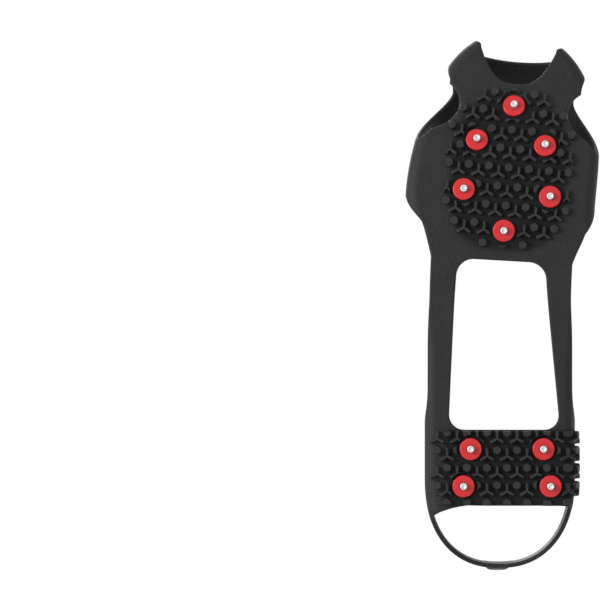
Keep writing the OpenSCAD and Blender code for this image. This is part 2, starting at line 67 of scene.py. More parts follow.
# Boot form that the rubber is stretched over
SOLE_LEN = 300.0
BALL_HALF = 51.0
HEEL_HALF = 40.0
TOE_LEN = 93.0
BALL_LEAN, LEAN_RUN, LEAN_SHARE = 3.35, 20.0, 0.7
HEEL_ROUND = 50.0
EDGE_R = 4.0
TOE_IN = math.radians(5.0)
SPRING_R = 170.0
SPRING = math.radians(20.0)
TOE_TOP = 60.0
TOE_ROUND = 41.0
HEEL_POWER, TOE_POWER, CAP_POWER, ARCH_POWER = 2.3, 2.34, 1.6, 2.6
VAMP_SLOPE = 0.18
CAP_OVERHANG = 3.0
BALL_Y = SOLE_LEN - TOE_LEN
SPRING_Y = BALL_Y - 23.0
TURN_FROM = BALL_Y - 77.0
TURN_TO = BALL_Y - 7.0
WALL_LEAN = 0.02
EDGE_ARC = EDGE_R * math.pi / 4

# Harness edges
NOTCH_Y = SOLE_LEN - 28.0
HORN_Y = SOLE_LEN - 6.3
NOTCH_HALF = 21.8
NOTCH_SEARCH = 5.0
FRONT_LEAN = 8.5
WINDOW_IN = 31.0
WINDOW_BACK = 44.0
WINDOW_FORE = 35.2
WINDOW_HALF = 20.3
WINDOW_TOP = 52.0
ARCH_LEN = 90.0
WING_Y = BALL_Y - 4.0
WING_LEAN = 32.0
WING_SHARE = 0.6
PAD_REAR = BALL_Y - 34.5
WINDOW_FRONT_HALF = 24.7
WINDOW_REAR_HALF = 31.5
WINDOW_CORNER = 9.0
WINDOW_SKEW = 2.4
BARS_HALF = 40.0
HEEL_FRONT = 77.0
HEEL_REAR = HEEL_FRONT - 43.0
STRAP_FROM = 100.0
WAIST_Y = STRAP_FROM + 10.0
STRAP_LOW = 28.5
STRAP_HIGH = 56.0
STRAP_LOW_POWER, STRAP_CLIMB_POWER = 2.1, 1.15
TAB_LEN = 32.0
TAB_HALF = 6.0
TAB_CURL, TAB_ROUND, TAB_TAPER = 4.0, 0.22, 0.12
HEEL_CORNER = 0.78 * HEEL_ROUND
HEEL_SPAN = 6.0
HEEL_SHIFT = 4.0
SLIDE_OUTER, SLIDE_INNER = (1.9, 1.0, 1.26), (5.0, 1.25, 0.13)
SLIDE_RUN = 14.0
STRAP_POWER, NOTCH_POWER, WING_POWER = 1.5, 2.8, 0.8
WINDOW_LOW_POWER, WINDOW_HIGH_POWER, WINDOW_LEAN_POWER = 2.2, 1.6, 4.0

# Fineness of the meshes
FINE = 3
RIM = 1.0
RIM_LIMIT = 0.3
RIM_SHARES = 1 - np.cos(np.linspace(0, math.pi / 2, 5))
EDGE_SHARE, EDGE_SPACING = 0.16, 1.6
STEP = 0.01
TINY = 1e-9
HALVINGS = 40
RIM_BLOCKS = 12
WELD = 0.002 * MM
TURN_STEPS, BORE_STEPS, BEAD_STEPS = 72, 48, 10

# Places of the studs on the flat sole, front to rear
FIRST_STUD = NOTCH_Y - 13.0
LAST_STUD = PAD_REAR + 16.8
ROW_2 = FIRST_STUD + 0.3 * (LAST_STUD - FIRST_STUD)
ROW_3 = FIRST_STUD + 0.7 * (LAST_STUD - FIRST_STUD)
STUDS = np.array([
    [0.0, FIRST_STUD],
    [19.3, ROW_2], [-19.3, ROW_2],
    [24.4, ROW_3], [-24.4, ROW_3],
    [0.0, LAST_STUD],
    [20.6 - HEEL_SHIFT, HEEL_FRONT - 11.0], [-20.6 - HEEL_SHIFT, HEEL_FRONT - 11.0],
    [24.6 - HEEL_SHIFT, HEEL_REAR + 11.0], [-24.6 - HEEL_SHIFT, HEEL_REAR + 11.0],
])

# Buttons and spikes, with heights down from the rubber's inner face
FIT = 0.03
DISC_H, DISC_RIM, DISC_EDGE = 2.0, 0.55, 0.2
DISH_IN, DISH_OUT = 1.4, 0.8
NECK_R = 3.2
FLANGE_R, FLANGE_H, FLANGE_EDGE = 5.2, 1.2, 0.2
MOUTH_EDGE = 0.18
SLOPE, LIP = 0.02, 0.05
HEAD_R, HEAD_H, HEAD_EDGE, HEAD_MID = 2.9, 0.7, 0.15, 0.3
SHANK_RING = 4.0
TIP_EDGE = 0.5
TIP_HOLLOW = np.array([[1.25, 0.0], [1.1, 0.08], [0.9, 0.55], [0.6, 0.66], [0.2, 0.7]])
CUT_OUT, CUT_IN = 12.0, 6.0
MAP_LEN = 10.0

# Ribs and parting lines on the toe band
LINE_HEIGHT = 19.0
LINE_LOW, LINE_HIGH = 2.0, 2.9
LINE_ENDS = np.array([WING_Y + 20.0, HORN_Y - 8.0])
LINE_HALF, LINE_GIRTH = 0.45, 0.022
LINE_RISE = 0.16
LINE_GAP = 1.5
RIB_SPREAD = 0.12
RIB_REAR = 240.0
RIB_PITCH = 2.4
RIB_COUNT = 12
RIB_HALF = 0.8
RIB_RISE = 0.42
RIB_POINTS, LINE_POINTS = 25, 41
BEAD_SINK = 0.08
SKIN = (("along", WING_Y - 15.0, SOLE_LEN, 5.0), ("height", 3.0, LINE_HEIGHT, 0.6))

# Tread
LUG_PITCH = 11.3
FORE_ROW = 10.5
HEEL_ROW = 9.9
LUG_R = 2.6
LUG_SINK, LUG_CHAMFER = 0.5, 0.45
LUG_SCALES = np.array([1.1, 1.08, 0.98, 0.84])[:, None, None]
LUG_SPARE = np.array([-0.25, -0.2, 0.0, 0.3])[:, None]
LUG_WEAR = np.array([0.0, 0.0, 1.0, 0.7])[:, None]
SIDE_SHARES = np.array([0.12, 0.5, 0.88])[:, None]
ARM_LEN = 4.4
ARM_W = 1.7
ARM_ROOT, ARM_CROTCH = 0.45, 0.816
ARM_CORNER, ARM_END = 0.25, 0.3
TREAD_SIDE = 35.6
TREAD_HALF = 38.5
TREAD_LEN_HALF = 45.0
TREAD_POWER = 2.2
STUD_CLEAR, STUD_REACH = BUTTON_R + 1.7, 0.35
LUG_EDGE = 0.8
HEEL_OUTER_ROOM, HEEL_INNER_ROOM = 3.0, 14.0
FORE_MID = (FIRST_STUD + LAST_STUD) / 2
HEEL_MID = (HEEL_FRONT + HEEL_REAR) / 2
OUTER_R = EDGE_R + RUBBER

# Painted shade on the tread's floor: darker rubber between the lugs, where shade falls
PAINTED_SHADE_SIDE, PAINTED_SHADE_LEN, PAINTED_SHADE_BACK = TREAD_SIDE - 2.5, TREAD_LEN_HALF - 2.0, 3.0
PAINTED_SHADE_POWER = 3
PAINTED_SHADE_FADE, PAINTED_SHADE_SOFT = 1.15, 0.3
PAINTED_SHADE_HEEL, PAINTED_SHADE_HEEL_SOFT = HEEL_HALF - 7.0, 4.0
PAINTED_SHADE_TOP = 4.0
OUTER_FACE = 0.2

# Stage, in metres and watts
FLOOR_HALF = 4.0
AMBIENT = 0.52
LAMPS = (
    ("lamp_above", (0.5, 0.6, 1.4), (0.0, 0.0, 0.04), 0.9, 12.0),
    ("lamp_side", (-1.2, -0.5, 0.7), (0.0, 0.0, 0.04), 0.8, 6.0),
    ("lamp_below", (1.2, 0.35, -0.85), (0.0, 0.0, 0.0), 0.9, 20.0),
)
VIEW_PIXEL = 0.565 * MM
VIEW_WIDTH, VIEW_ACROSS, VIEW_ALONG = 600, 200, 266
VIEW_DISTANCE, VIEW_HEIGHT = 6.0, 0.005
SENSOR = 36.0
VIEW_END = 100.0


def length_prop(name, description, size):
    """A length property with its default in millimetres."""
    return FloatProperty(name=name, description=description, default=size * MM, unit="LENGTH")


def colour_prop(name, description, *default):
    """A colour property."""
    return FloatVectorProperty(name=name, description=description, default=default, subtype="COLOR")


class CleatSizes(bpy.types.PropertyGroup):
    """Sizes of the moulded rubber and of the studs."""

    rubber: length_prop("Rubber", "Thickness of the rubber", RUBBER)
    lug: length_prop("Lug", "Height of the tread lugs", LUG_HEIGHT)
    button: length_prop("Button", "Radius of a stud's button", BUTTON_R)
    spike: length_prop("Spike", "Radius of a steel spike", SPIKE_R)
    spike_out: length_prop("Spike height", "Distance from the rubber to a spike's tip", SPIKE_OUT)


class CleatColours(bpy.types.PropertyGroup):
    """Colours of the rubber, the buttons, the steel and the stage."""

    rubber: colour_prop("Rubber", "Colour of the rubber", 0.0182, 0.0184, 0.019)
    dust: colour_prop("Dust", "Colour of rubbed rubber", 0.042, 0.042, 0.043)
    red: colour_prop("Red", "Colour of the buttons", 0.65, 0.016, 0.020)
    steel: colour_prop("Steel", "Colour of the spikes", 0.66, 0.66, 0.67)
    floor: colour_prop("Floor", "Colour of the floor", 0.86, 0.86, 0.86)


# Boot form


def clip(v):
    """Limits a value to 0 to 1."""
    return np.clip(v, 0.0, 1.0)


def ease(v):
    """Smooth step: 3v^2 - 2v^3 on 0 to 1."""
    c = clip(v)
    return c * c * (3 - 2 * c)


def mix(a, b, f):
    """From a to b by the share f: a + (b - a) f."""
    return a + (b - a) * f


def round_end(u, power):
    """Quarter of a superellipse: (1 - u^power)^(1/power)."""
    return (1 - clip(u) ** power) ** (1 / power)


def halved(low, high, before):
    """Place between low and high where before(place) turns false, by halving."""
    for _ in range(HALVINGS):
        mid = (low + high) / 2
        keep = before(mid)
        low, high = np.where(keep, mid, low), np.where(keep, high, mid)
    return low


def half_width(y):
    """Half-width of the sole: round heel, straight waist, eased ball, round toe."""
    heel = HEEL_HALF * round_end((HEEL_ROUND - y) / HEEL_ROUND, HEEL_POWER)
    waist = mix(HEEL_HALF, BALL_HALF, ease((y - WAIST_Y) / (BALL_Y - WAIST_Y)))
    toe = BALL_HALF * round_end((y - BALL_Y) / TOE_LEN, TOE_POWER)
    return np.where(y < HEEL_ROUND, heel, np.where(y < BALL_Y, waist, toe))


def top_height(y):
    """Height of the toe box: a slope, then a superellipse down to the toe tip."""
    cap = SOLE_LEN + CAP_OVERHANG - TOE_ROUND
    slope = TOE_TOP + VAMP_SLOPE * (cap - y)
    return np.where(y < cap, slope, TOE_TOP * round_end((y - cap) / TOE_ROUND, CAP_POWER))


def sole_rise(y):
    """Toe spring: flat, then a circular arc, then a straight ramp."""
    d = np.maximum(0.0, y - SPRING_Y)
    run = SPRING_R * math.sin(SPRING)
    arc = SPRING_R - np.sqrt(SPRING_R ** 2 - np.minimum(d, run) ** 2)
    return arc + np.maximum(0.0, d - run) * math.tan(SPRING)


def sole_tilt(y):
    """Angle of the sole at y, in radians."""
    return np.minimum(SPRING, np.arcsin(clip((y - SPRING_Y) / SPRING_R)))


def turn_angle(y):
    """Eased angle by which the forefoot turns inwards at y."""
    return TOE_IN * ease((y - TURN_FROM) / (TURN_TO - TURN_FROM))


def turn_shift(y):
    """Sideways shift of the turned forefoot: tan(a) n (f^3 - f^4 / 2), then straight on."""
    length = TURN_TO - TURN_FROM
    f = clip((y - TURN_FROM) / length)
    return math.tan(TOE_IN) * (length * (f ** 3 - f ** 4 / 2) + np.maximum(0.0, y - TURN_TO))


def turned(x, y, z):
    """Turns the forefoot inwards by an eased angle, then lifts it with the toe spring."""
    along = y + x * np.sin(turn_angle(y))
    return np.stack([x - turn_shift(y), along, z + sole_rise(along)], axis=-1)


def outline_lean(y):
    """Sideways lean of the outline: 0 at the waist, most at the ball, 0 at the toe."""
    rise = ease((y - BALL_Y + LEAN_RUN) / LEAN_RUN)
    return BALL_LEAN * rise * (1 - ease((y - BALL_Y) / (TOE_LEN * LEAN_SHARE)))


def toe_point(girth, y):
    """Boot section at y: 0 to 1 along the bottom, 1 to 2 round the edge, 2 to 3 up an arch."""
    g = np.abs(girth)
    w = half_width(y)
    r = np.minimum(EDGE_R, w / 2)
    a = (np.clip(g, 1, 2) - 1) * math.pi / 2
    b = (np.clip(g, 2, 3) - 2) * math.pi / 2
    top = top_height(y) - r
    reach = ((np.cos(b) / w) ** ARCH_POWER + (np.sin(b) / top) ** ARCH_POWER) ** (-1 / ARCH_POWER)
    x = np.where(g <= 1, (w - r) * g, np.where(g <= 2, w - r + r * np.sin(a), reach * np.cos(b)))
    z = np.where(g <= 1, 0.0, np.where(g <= 2, r * (1 - np.cos(a)), r + reach * np.sin(b)))
    lean = np.where(g <= 1, np.minimum(g, 1) ** 4, np.cos(b)) * outline_lean(y)
    return turned(np.sign(girth) * x + lean, y, z)


# Edges of the harness

FLAT_HALF = float(half_width(PAD_REAR)) - EDGE_R
G_BAR_IN = (WINDOW_FRONT_HALF - WINDOW_CORNER) / FLAT_HALF
G_BAR_OUT = BARS_HALF / FLAT_HALF
G_WIN_IN = WINDOW_IN / (float(half_width(SOLE_LEN - WINDOW_BACK)) - EDGE_R)
G_WIN_MID = 2.0
G_WIN_TOP = 2 + WINDOW_TOP / ARCH_LEN
WING_EDGE = mix(PAD_REAR, WING_Y, WING_SHARE)


def up_lean(g):
    """Share of an edge's lean up the side: the arch's sine to a power."""
    return np.sin((np.clip(g, 2, 3) - 2) * math.pi / 2) ** STRAP_POWER


def notch_line(x):
    """Edge of the notch: a + b (x / c)^p."""
    return NOTCH_Y + (HORN_Y - NOTCH_Y) * (x / NOTCH_HALF) ** NOTCH_POWER


def notch_edge(g):
    """Place where the notch meets the girth line x = g (w(y) - r)."""
    return halved(NOTCH_Y - NOTCH_SEARCH, HORN_Y, lambda y: y < notch_line(g * (half_width(y) - EDGE_R)))


def front_edge(g):
    """Front edge by girth: a round notch, a slanted horn, a lean up the side."""
    notch = notch_edge(np.minimum(g, 1.0))
    horn = mix(HORN_Y, notch, np.clip(2 - g, 0, 1) ** 4) - FRONT_LEAN * up_lean(g)
    return np.where(g <= 1, notch, horn)


def rear_edge(g):
    """Rear edge by girth: straight under the pad, out to the wing, a lean up the side."""
    bend = mix(PAD_REAR, WING_EDGE, clip((g - G_BAR_OUT) / (1 - G_BAR_OUT)) ** WING_POWER)
    wing = mix(WING_EDGE, WING_Y, np.clip(g - 1, 0, 1)) + WING_LEAN * up_lean(g)
    return np.where(g <= 1, bend, wing)


def window_mid(g):
    """Middle of a side window by girth: it leans forward towards the window's top."""
    share = clip((g - G_WIN_IN) / (G_WIN_TOP - G_WIN_IN)) ** WINDOW_LEAN_POWER
    return mix(SOLE_LEN - WINDOW_BACK, SOLE_LEN - WINDOW_FORE, share)


def window_open(g):
    """Half-opening of a side window by girth: a superellipse below its widest place, one above."""
    low = WINDOW_HALF * round_end((G_WIN_MID - g) / (G_WIN_MID - G_WIN_IN), WINDOW_LOW_POWER)
    high = WINDOW_HALF * round_end((g - G_WIN_MID) / (G_WIN_TOP - G_WIN_MID), WINDOW_HIGH_POWER)
    return np.where(g < G_WIN_MID, low, high)


def climb_at(y, x):
    """Climb of a place x on the bottom, counted from halfway round the sole's edge."""
    return -(half_width(y) - x - EDGE_R) - EDGE_ARC


def pad_end(side):
    """Climb at which the heel pad ends and the strap begins."""
    return climb_at(np.float64(HEEL_FRONT), WINDOW_REAR_HALF - WINDOW_CORNER - side * WINDOW_SKEW)


def strap_lower(side, place):
    """Inner edge of a bar with round corners, then a superellipse to the heel's back."""
    down = (PAD_REAR - place) / (PAD_REAR - HEEL_FRONT)
    drops = sum(
        WINDOW_CORNER * (1 - round_end((WINDOW_CORNER - gap) / WINDOW_CORNER, 2))
        for gap in (PAD_REAR - place, place - HEEL_FRONT)
    )
    half = mix(WINDOW_FRONT_HALF, WINDOW_REAR_HALF, down) - side * WINDOW_SKEW * clip(down)
    bar = climb_at(place, half - drops)
    heel = mix(pad_end(side), STRAP_LOW, round_end(place / HEEL_CORNER, STRAP_LOW_POWER))
    return np.where(place >= HEEL_FRONT, bar, heel)


def strap_upper(place):
    """Outer edge of a bar, then an eased climb to the strap's height at the heel's back."""
    start = climb_at(np.maximum(place, WAIST_Y), BARS_HALF)
    return mix(start, STRAP_HIGH, ease(clip(1 - place / STRAP_FROM) ** STRAP_CLIMB_POWER))


def slid(side, place, climb):
    """Moves the pad's rear corners: a s^p forward and b (1 - s) back, s from the pad's end to the wall."""
    a, p, b = np.where(side > 0, SLIDE_OUTER, SLIDE_INNER).T[..., None]
    s = clip((climb - pad_end(side)) / (EDGE_ARC - pad_end(side)))
    fade = 1 - ease((climb - EDGE_ARC) / SLIDE_RUN)
    near = ease(place / HEEL_CORNER) * (1 - ease((place - HEEL_CORNER) / SLIDE_RUN))
    return place + (a * s ** p * fade - b * (1 - s)) * near


def outline(place):
    """Sole outline: straight sides, then a superellipse round the heel."""
    a = math.pi / 2 * (1 - clip(place / HEEL_ROUND))
    e = 2 / HEEL_POWER
    x = np.where(place >= HEEL_ROUND, half_width(place), HEEL_HALF * np.abs(np.cos(a)) ** e)
    y = np.where(place >= HEEL_ROUND, place, HEEL_ROUND * (1 - np.sin(a) ** e))
    return x, y


def strap_point(side, place, climb):
    """Wraps a climb round the sole's edge: in along the bottom, round the edge arc, up the wall."""
    x, y = outline(place)
    x1, y1 = outline(place + STEP)
    x0, y0 = outline(np.maximum(place - STEP, 0.0))
    n = np.hypot(x1 - x0, y1 - y0) + TINY * MM
    straight, back = place >= HEEL_ROUND, place < STEP
    nx = np.where(straight, -1.0, np.where(back, 0.0, -(y1 - y0) / n))
    ny = np.where(straight, 0.0, np.where(back, 1.0, (x1 - x0) / n))
    a = (np.clip(climb, -EDGE_ARC, EDGE_ARC) + EDGE_ARC) / EDGE_R
    low, high = climb < -EDGE_ARC, climb > EDGE_ARC
    wall = np.where(high, WALL_LEAN * (climb - EDGE_ARC), EDGE_R * (1 - np.sin(a)))
    inside = np.where(low, EDGE_R - EDGE_ARC - climb, wall)
    z = np.where(low, 0.0, np.where(high, EDGE_R + climb - EDGE_ARC, EDGE_R * (1 - np.cos(a))))
    return turned(side * (x + nx * inside), y + ny * inside, z)


# Mesh helpers


def spread(a, b, n):
    """Even steps from a towards b, without b."""
    return np.linspace(a, b, n, endpoint=False)


def stud_offset():
    """Shift from the boot form to the frame, from a heel spike's place."""
    low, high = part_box("steel_spike_07")
    middle = (np.array(low) + np.array(high)) / 2 / MM
    return np.append(middle[:2] - STUDS[6], RUBBER + SPIKE_OUT)


OFFSET = stud_offset()


def to_frame(points):
    """Points of the boot form, moved to the frame, in metres."""
    return (np.asarray(points).reshape(-1, 3) + OFFSET) * MM


def grid_faces(rows, columns, start=0, wrap=False, flip=False):
    """Four-sided faces of a grid of points, as rows of indices."""
    c = np.arange(columns if wrap else columns - 1)
    n = (c + 1) % columns
    r = start + columns * np.arange(rows - 1)[:, None]
    quads = np.stack([r + c, r + n, r + n + columns, r + c + columns], axis=-1).reshape(-1, 4)
    return quads[:, ::-1] if flip else quads


def joined(grids, wrap=False):
    """Points and faces of several grids, each with whether its faces are flipped."""
    verts, faces, start = [], [], 0
    for points, flip in grids:
        rows, columns = points.shape[:2]
        faces.append(grid_faces(rows, columns, start, wrap, flip))
        verts.append(points.reshape(-1, 3))
        start += rows * columns
    return np.concatenate(verts), np.concatenate(faces)


def new_mesh(name, verts, faces):
    """A mesh from points and faces."""
    mesh = bpy.data.meshes.new(name)
    mesh.from_pydata(verts.tolist(), [], [list(map(int, face)) for face in faces])
    return mesh


def linked(name, data):
    """A new object in the scene."""
    obj = bpy.data.objects.new(name, data)
    bpy.context.scene.collection.objects.link(obj)
    return obj


def new_piece(name, verts, faces, material):
    """A mesh object at the origin that rides on the cleat's one body."""
    mesh = new_mesh(name, verts, faces)
    mesh.validate()
    mesh.materials.append(material)
    obj = linked(name, mesh)
    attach(obj, ROOT)
    return obj


def finish_mesh(mesh, smooth):
    """Smooth faces, with sharp edges above an angle in degrees."""
    mesh.shade_smooth()
    mesh.set_sharp_from_angle(angle=math.radians(smooth))
    mesh.update()


def weld(mesh, outward=False):
    """Joins points that lie together and, if asked, turns the faces outwards."""
    work = bmesh.new()
    work.from_mesh(mesh)
    bmesh.ops.remove_doubles(work, verts=work.verts, dist=WELD)
    if outward:
        bmesh.ops.dissolve_degenerate(work, edges=work.edges, dist=WELD / 2)
        bmesh.ops.recalc_face_normals(work, faces=work.faces)
    work.to_mesh(mesh)
    work.free()


def point_rows(mesh, key):
    """Places or normals of a mesh's points, as rows of three."""
    values = np.empty(3 * len(mesh.vertices), dtype=np.float32)
    mesh.vertices.foreach_get(key, values)
    return values.reshape(-1, 3)


def corner_points(mesh):
    """Index of the point at each corner of a mesh's faces."""
    points = np.empty(len(mesh.loops), dtype=np.int32)
    mesh.loops.foreach_get("vertex_index", points)
    return points


def set_map(mesh, name, values):
    """Keeps one number for each point, for the materials."""
    layer = mesh.attributes.new(name, "FLOAT", "POINT")
    layer.data.foreach_set("value", values.astype(np.float32))


def above_sole(points):
    """Height of points above the risen sole."""
    return points[..., 2] - sole_rise(points[..., 1])


def set_place_maps(mesh):
    """Keeps each point's height, its place along the foot and its share of the painted shade on the tread's
    floor between the lugs.
    """
    outer = point_rows(mesh, "normal")[:, 2] < OUTER_FACE
    points = point_rows(mesh, "co") / MM - OFFSET
    across = points[:, 0] + turn_shift(points[:, 1])
    along = points[:, 1] - across * np.sin(turn_angle(points[:, 1]))
    height = above_sole(points)
    # Painted shade: an oval over the forefoot tread and a band over the heel pad, where the rubber between
    # the lugs is darkened to stand in for shade
    oval = (np.abs(across) / PAINTED_SHADE_SIDE) ** PAINTED_SHADE_POWER
    oval += (np.abs(along - FORE_MID + PAINTED_SHADE_BACK) / PAINTED_SHADE_LEN) ** PAINTED_SHADE_POWER
    heel = (along > HEEL_REAR) & (along < HEEL_FRONT)
    heel = heel * clip((PAINTED_SHADE_HEEL - across) / PAINTED_SHADE_HEEL_SOFT)
    floor = np.maximum(clip((PAINTED_SHADE_FADE - oval) / PAINTED_SHADE_SOFT), heel) * (height < PAINTED_SHADE_TOP) * outer
    for name, values in (("height", height), ("along", along), ("tread_painted_shade", floor)):
        set_map(mesh, name, values)


# Materials


class Wires:
    """Adds nodes to a tree: a value that is a socket is linked, any other is set."""

    def __init__(self, tree):
        self.tree = tree

    def feed(self, socket, value):
        """Links or sets one input."""
        if isinstance(value, bpy.types.NodeSocket):
            self.tree.links.new(value, socket)
        else:
            socket.default_value = value

    def into(self, made, **values):
        """Gives a node its inputs and settings by name, with _ for an input's spaces."""
        for key, value in values.items():
            label = key.replace("_", " ")
            if label in made.inputs:
                self.feed(made.inputs[label], value)
            else:
                setattr(made, key, value)
        return made

    def add(self, kind, **values):
        """A new node with the given inputs and settings."""
        return self.into(self.tree.nodes.new("ShaderNode" + kind), **values)

    def math(self, operation, *values, clamp=False):
        """Result of one sum on up to three values."""
        made = self.add("Math", operation=operation, use_clamp=clamp)
        for socket, value in zip(made.inputs, values):
            self.feed(socket, value)
        return made.outputs[0]

    def scaled(self, value, gain, base=0.0):
        """value times gain, plus base."""
        return self.math("MULTIPLY_ADD", value, gain, base)

    def either(self, first, *others):
        """1 where any of the values is 1."""
        for value in others:
            first = self.math("MAXIMUM", first, value)
        return first

    def blend(self, factor, a, b):
        """Colour from a to b by a factor."""
        return self.add("Mix", data_type="RGBA", Factor=factor, A=a, B=b).outputs["Result"]

    def kept(self, name):
        """A number that the mesh keeps for each point."""
        return self.add("Attribute", attribute_name=name).outputs["Fac"]

    def group(self, name, maker, place, **values):
        """Outputs of a shared node group, made when first asked for."""
        tree = bpy.data.node_groups.get(name) or maker(name)
        return self.add("Group", node_tree=tree, Vector=place, **values).outputs

    def finish(self, shader, height, strength, distance, **values):
        """Gives a surface its values and a bump from a height."""
        relief = self.add("Bump", Strength=strength, Distance=distance, Height=height)
        self.into(shader, Normal=relief.outputs["Normal"], **values)


def new_group(name, inputs, outputs):
    """A node group with a Vector input and the named float inputs and outputs."""
    tree = bpy.data.node_groups.new(name, "ShaderNodeTree")
    tree.interface.new_socket(name="Vector", in_out="INPUT", socket_type="NodeSocketVector")
    for way, labels in (("INPUT", inputs), ("OUTPUT", outputs)):
        for label in labels:
            tree.interface.new_socket(name=label, in_out=way, socket_type="NodeSocketFloat")
    return Wires(tree), tree.nodes.new("NodeGroupInput").outputs, tree.nodes.new("NodeGroupOutput")


def grain_group(name):
    """Moulded grain: fine pebbles from cells and noise, and a cloudy tone from larger noise."""
    wires, given, sink = new_group(name, ("Scale", "Patches"), ("Height", "Mottle"))
    place, scale, patches = given["Vector"], given["Scale"], given["Patches"]
    cells = wires.add("TexVoronoi", feature="SMOOTH_F1", Vector=place, Scale=scale)
    fine = wires.add("TexNoise", Vector=place, Scale=scale, Detail=4.0, Roughness=0.6)
    cloud = wires.add("TexNoise", Vector=place, Scale=patches, Detail=5.0, Roughness=0.55)
    height = wires.math("ADD", cells.outputs["Distance"], fine.outputs["Fac"])
    wires.into(sink, Height=height, Mottle=cloud.outputs["Fac"])
    return wires.tree


def scuff_group(name):
    """Rub marks: thin stretched noise, kept only where it is strongest."""
    wires, given, sink = new_group(name, ("Scale", "Amount"), ("Mask",))
    turn, stretch, contrast = (0.0, 0.0, 0.6), (1.0, 0.16, 1.0), 8.0
    place = wires.add("Mapping", Vector=given["Vector"], Rotation=turn, Scale=stretch).outputs["Vector"]
    marks = wires.add("TexNoise", Vector=place, Scale=given["Scale"], Detail=8.0, Roughness=0.7)
    over = wires.math("SUBTRACT", marks.outputs["Fac"], given["Amount"])
    wires.into(sink, Mask=wires.math("MULTIPLY", over, contrast, clamp=True))
    return wires.tree


def base_material(name):
    """A new material with its wires, shader and coordinates."""
    material = bpy.data.materials.new(name)
    material.use_nodes = True
    wires = Wires(material.node_tree)
    return material, wires, wires.tree.nodes["Principled BSDF"], wires.add("TexCoord").outputs


def rgba(colour, gain=1.0, lift=0.0):
    """A colour times a gain plus a lift, with its alpha."""
    return tuple(min(1.0, c * gain + lift) for c in colour) + (1.0,)


def coarse_band(wires):
    """Mask of the toe band's coarser skin, with a smooth fall outside each limit."""
    mask = 1.0
    for key, low, high, soft in SKIN:
        value = wires.kept(key)
        for start, end in ((low - soft, low), (high + soft, high)):
            ramp = wires.add("MapRange", interpolation_type="SMOOTHSTEP", Value=value)
            wires.into(ramp, From_Min=start, From_Max=end)
            mask = wires.math("MULTIPLY", ramp.outputs["Result"], mask)
    return mask


def rubber_material(name, colours, worn):
    """Matte rubber: moulded grain, cloudy tone and rub marks; worn edges, or painted shade that darkens the
    tread's floor between the lugs.
    """
    material, wires, shader, coords = base_material(name)
    grain = wires.group("moulded_grain", grain_group, coords["Object"], Scale=1100.0, Patches=55.0)
    marks = wires.group("rub_marks", scuff_group, coords["Object"], Scale=140.0, Amount=0.60)["Mask"]
    fine = wires.scaled(grain["Height"], gain=0.55, base=-0.32)
    speck = wires.math("MULTIPLY_ADD", grain["Mottle"], 0.6, fine, clamp=True)
    tone = wires.blend(speck, rgba(colours.rubber, gain=0.5), rgba(colours.rubber, gain=1.8))
    rough = wires.scaled(grain["Mottle"], gain=0.22, base=0.48)
    rubbed = wires.scaled(marks, gain=0.25)
    height = wires.scaled(grain["Height"], gain=0.2)
    if worn:
        broken = wires.math("MULTIPLY", wires.kept("edge_wear"), grain["Mottle"])
        rubbed = wires.math("MULTIPLY_ADD", broken, 0.8, rubbed, clamp=True)
    else:
        # Painted shade: the tread's floor between the lugs is darkened to stand in for shade; the added
        # roughness is the rubber's own
        floor = wires.kept("tread_painted_shade")
        tone = wires.blend(floor, tone, rgba(colours.rubber, gain=0.45))
        rough = wires.scaled(floor, gain=0.2, base=rough)
        coarse = wires.scaled(grain["Height"], gain=0.09)
        height = wires.scaled(coarse, gain=coarse_band(wires), base=height)
    tone = wires.blend(rubbed, tone, rgba(colours.dust))
    wires.finish(shader, height, 1.0, MM, Base_Color=tone, Roughness=rough, Specular_IOR_Level=0.2)
    return material


def red_material(colours):
    """Satin red plastic: faint moulding flow, fine scuffs and a soft orange-peel surface."""
    material, wires, shader, coords = base_material("red_plastic")
    grain = wires.group("moulded_grain", grain_group, coords["Object"], Scale=900.0, Patches=240.0)
    marks = wires.group("rub_marks", scuff_group, coords["Object"], Scale=520.0, Amount=0.60)["Mask"]
    tone = wires.blend(grain["Mottle"], rgba(colours.red, gain=0.88), rgba(colours.red, gain=1.08))
    tone = wires.blend(wires.scaled(marks, gain=0.35), tone, rgba(colours.red, gain=0.9, lift=0.08))
    rough = wires.scaled(marks, gain=0.25, base=0.36)
    wires.finish(shader, grain["Height"], 0.12, 0.1 * MM, Base_Color=tone, Roughness=rough)
    return material


def steel_material(colours):
    """Turned steel: rings along the spike's profile in the roughness and bump, and a tone that varies at
    random.
    """
    material, wires, shader, coords = base_material("turned_steel")
    place = wires.add("Mapping", Vector=coords["UV"], Scale=(2.0, 60.0, 1.0)).outputs["Vector"]
    rings = wires.add("TexNoise", Vector=place, Scale=1.0, Detail=3.0, Roughness=0.7).outputs["Fac"]
    grain = wires.group("moulded_grain", grain_group, coords["Object"], Scale=1200.0, Patches=500.0)
    tone = wires.blend(grain["Mottle"], rgba(colours.steel, gain=0.8), rgba(colours.steel, gain=1.1))
    rough = wires.scaled(rings, gain=0.2, base=0.38)
    wires.finish(shader, rings, 0.15, 0.05 * MM, Base_Color=tone, Roughness=rough, Metallic=1.0)
    return material


# Rubber harness


def edged(length, count):
    """Distances across a band: close at both edges for the rounded rims, even between."""
    near = RIM_SHARES * np.minimum(RIM, RIM_LIMIT * length)
    between = mix(near[..., -1:], length - near[..., -1:], spread(0, 1, count))
    return np.concatenate([near[..., :-1], between, length - near[..., ::-1]], axis=-1)


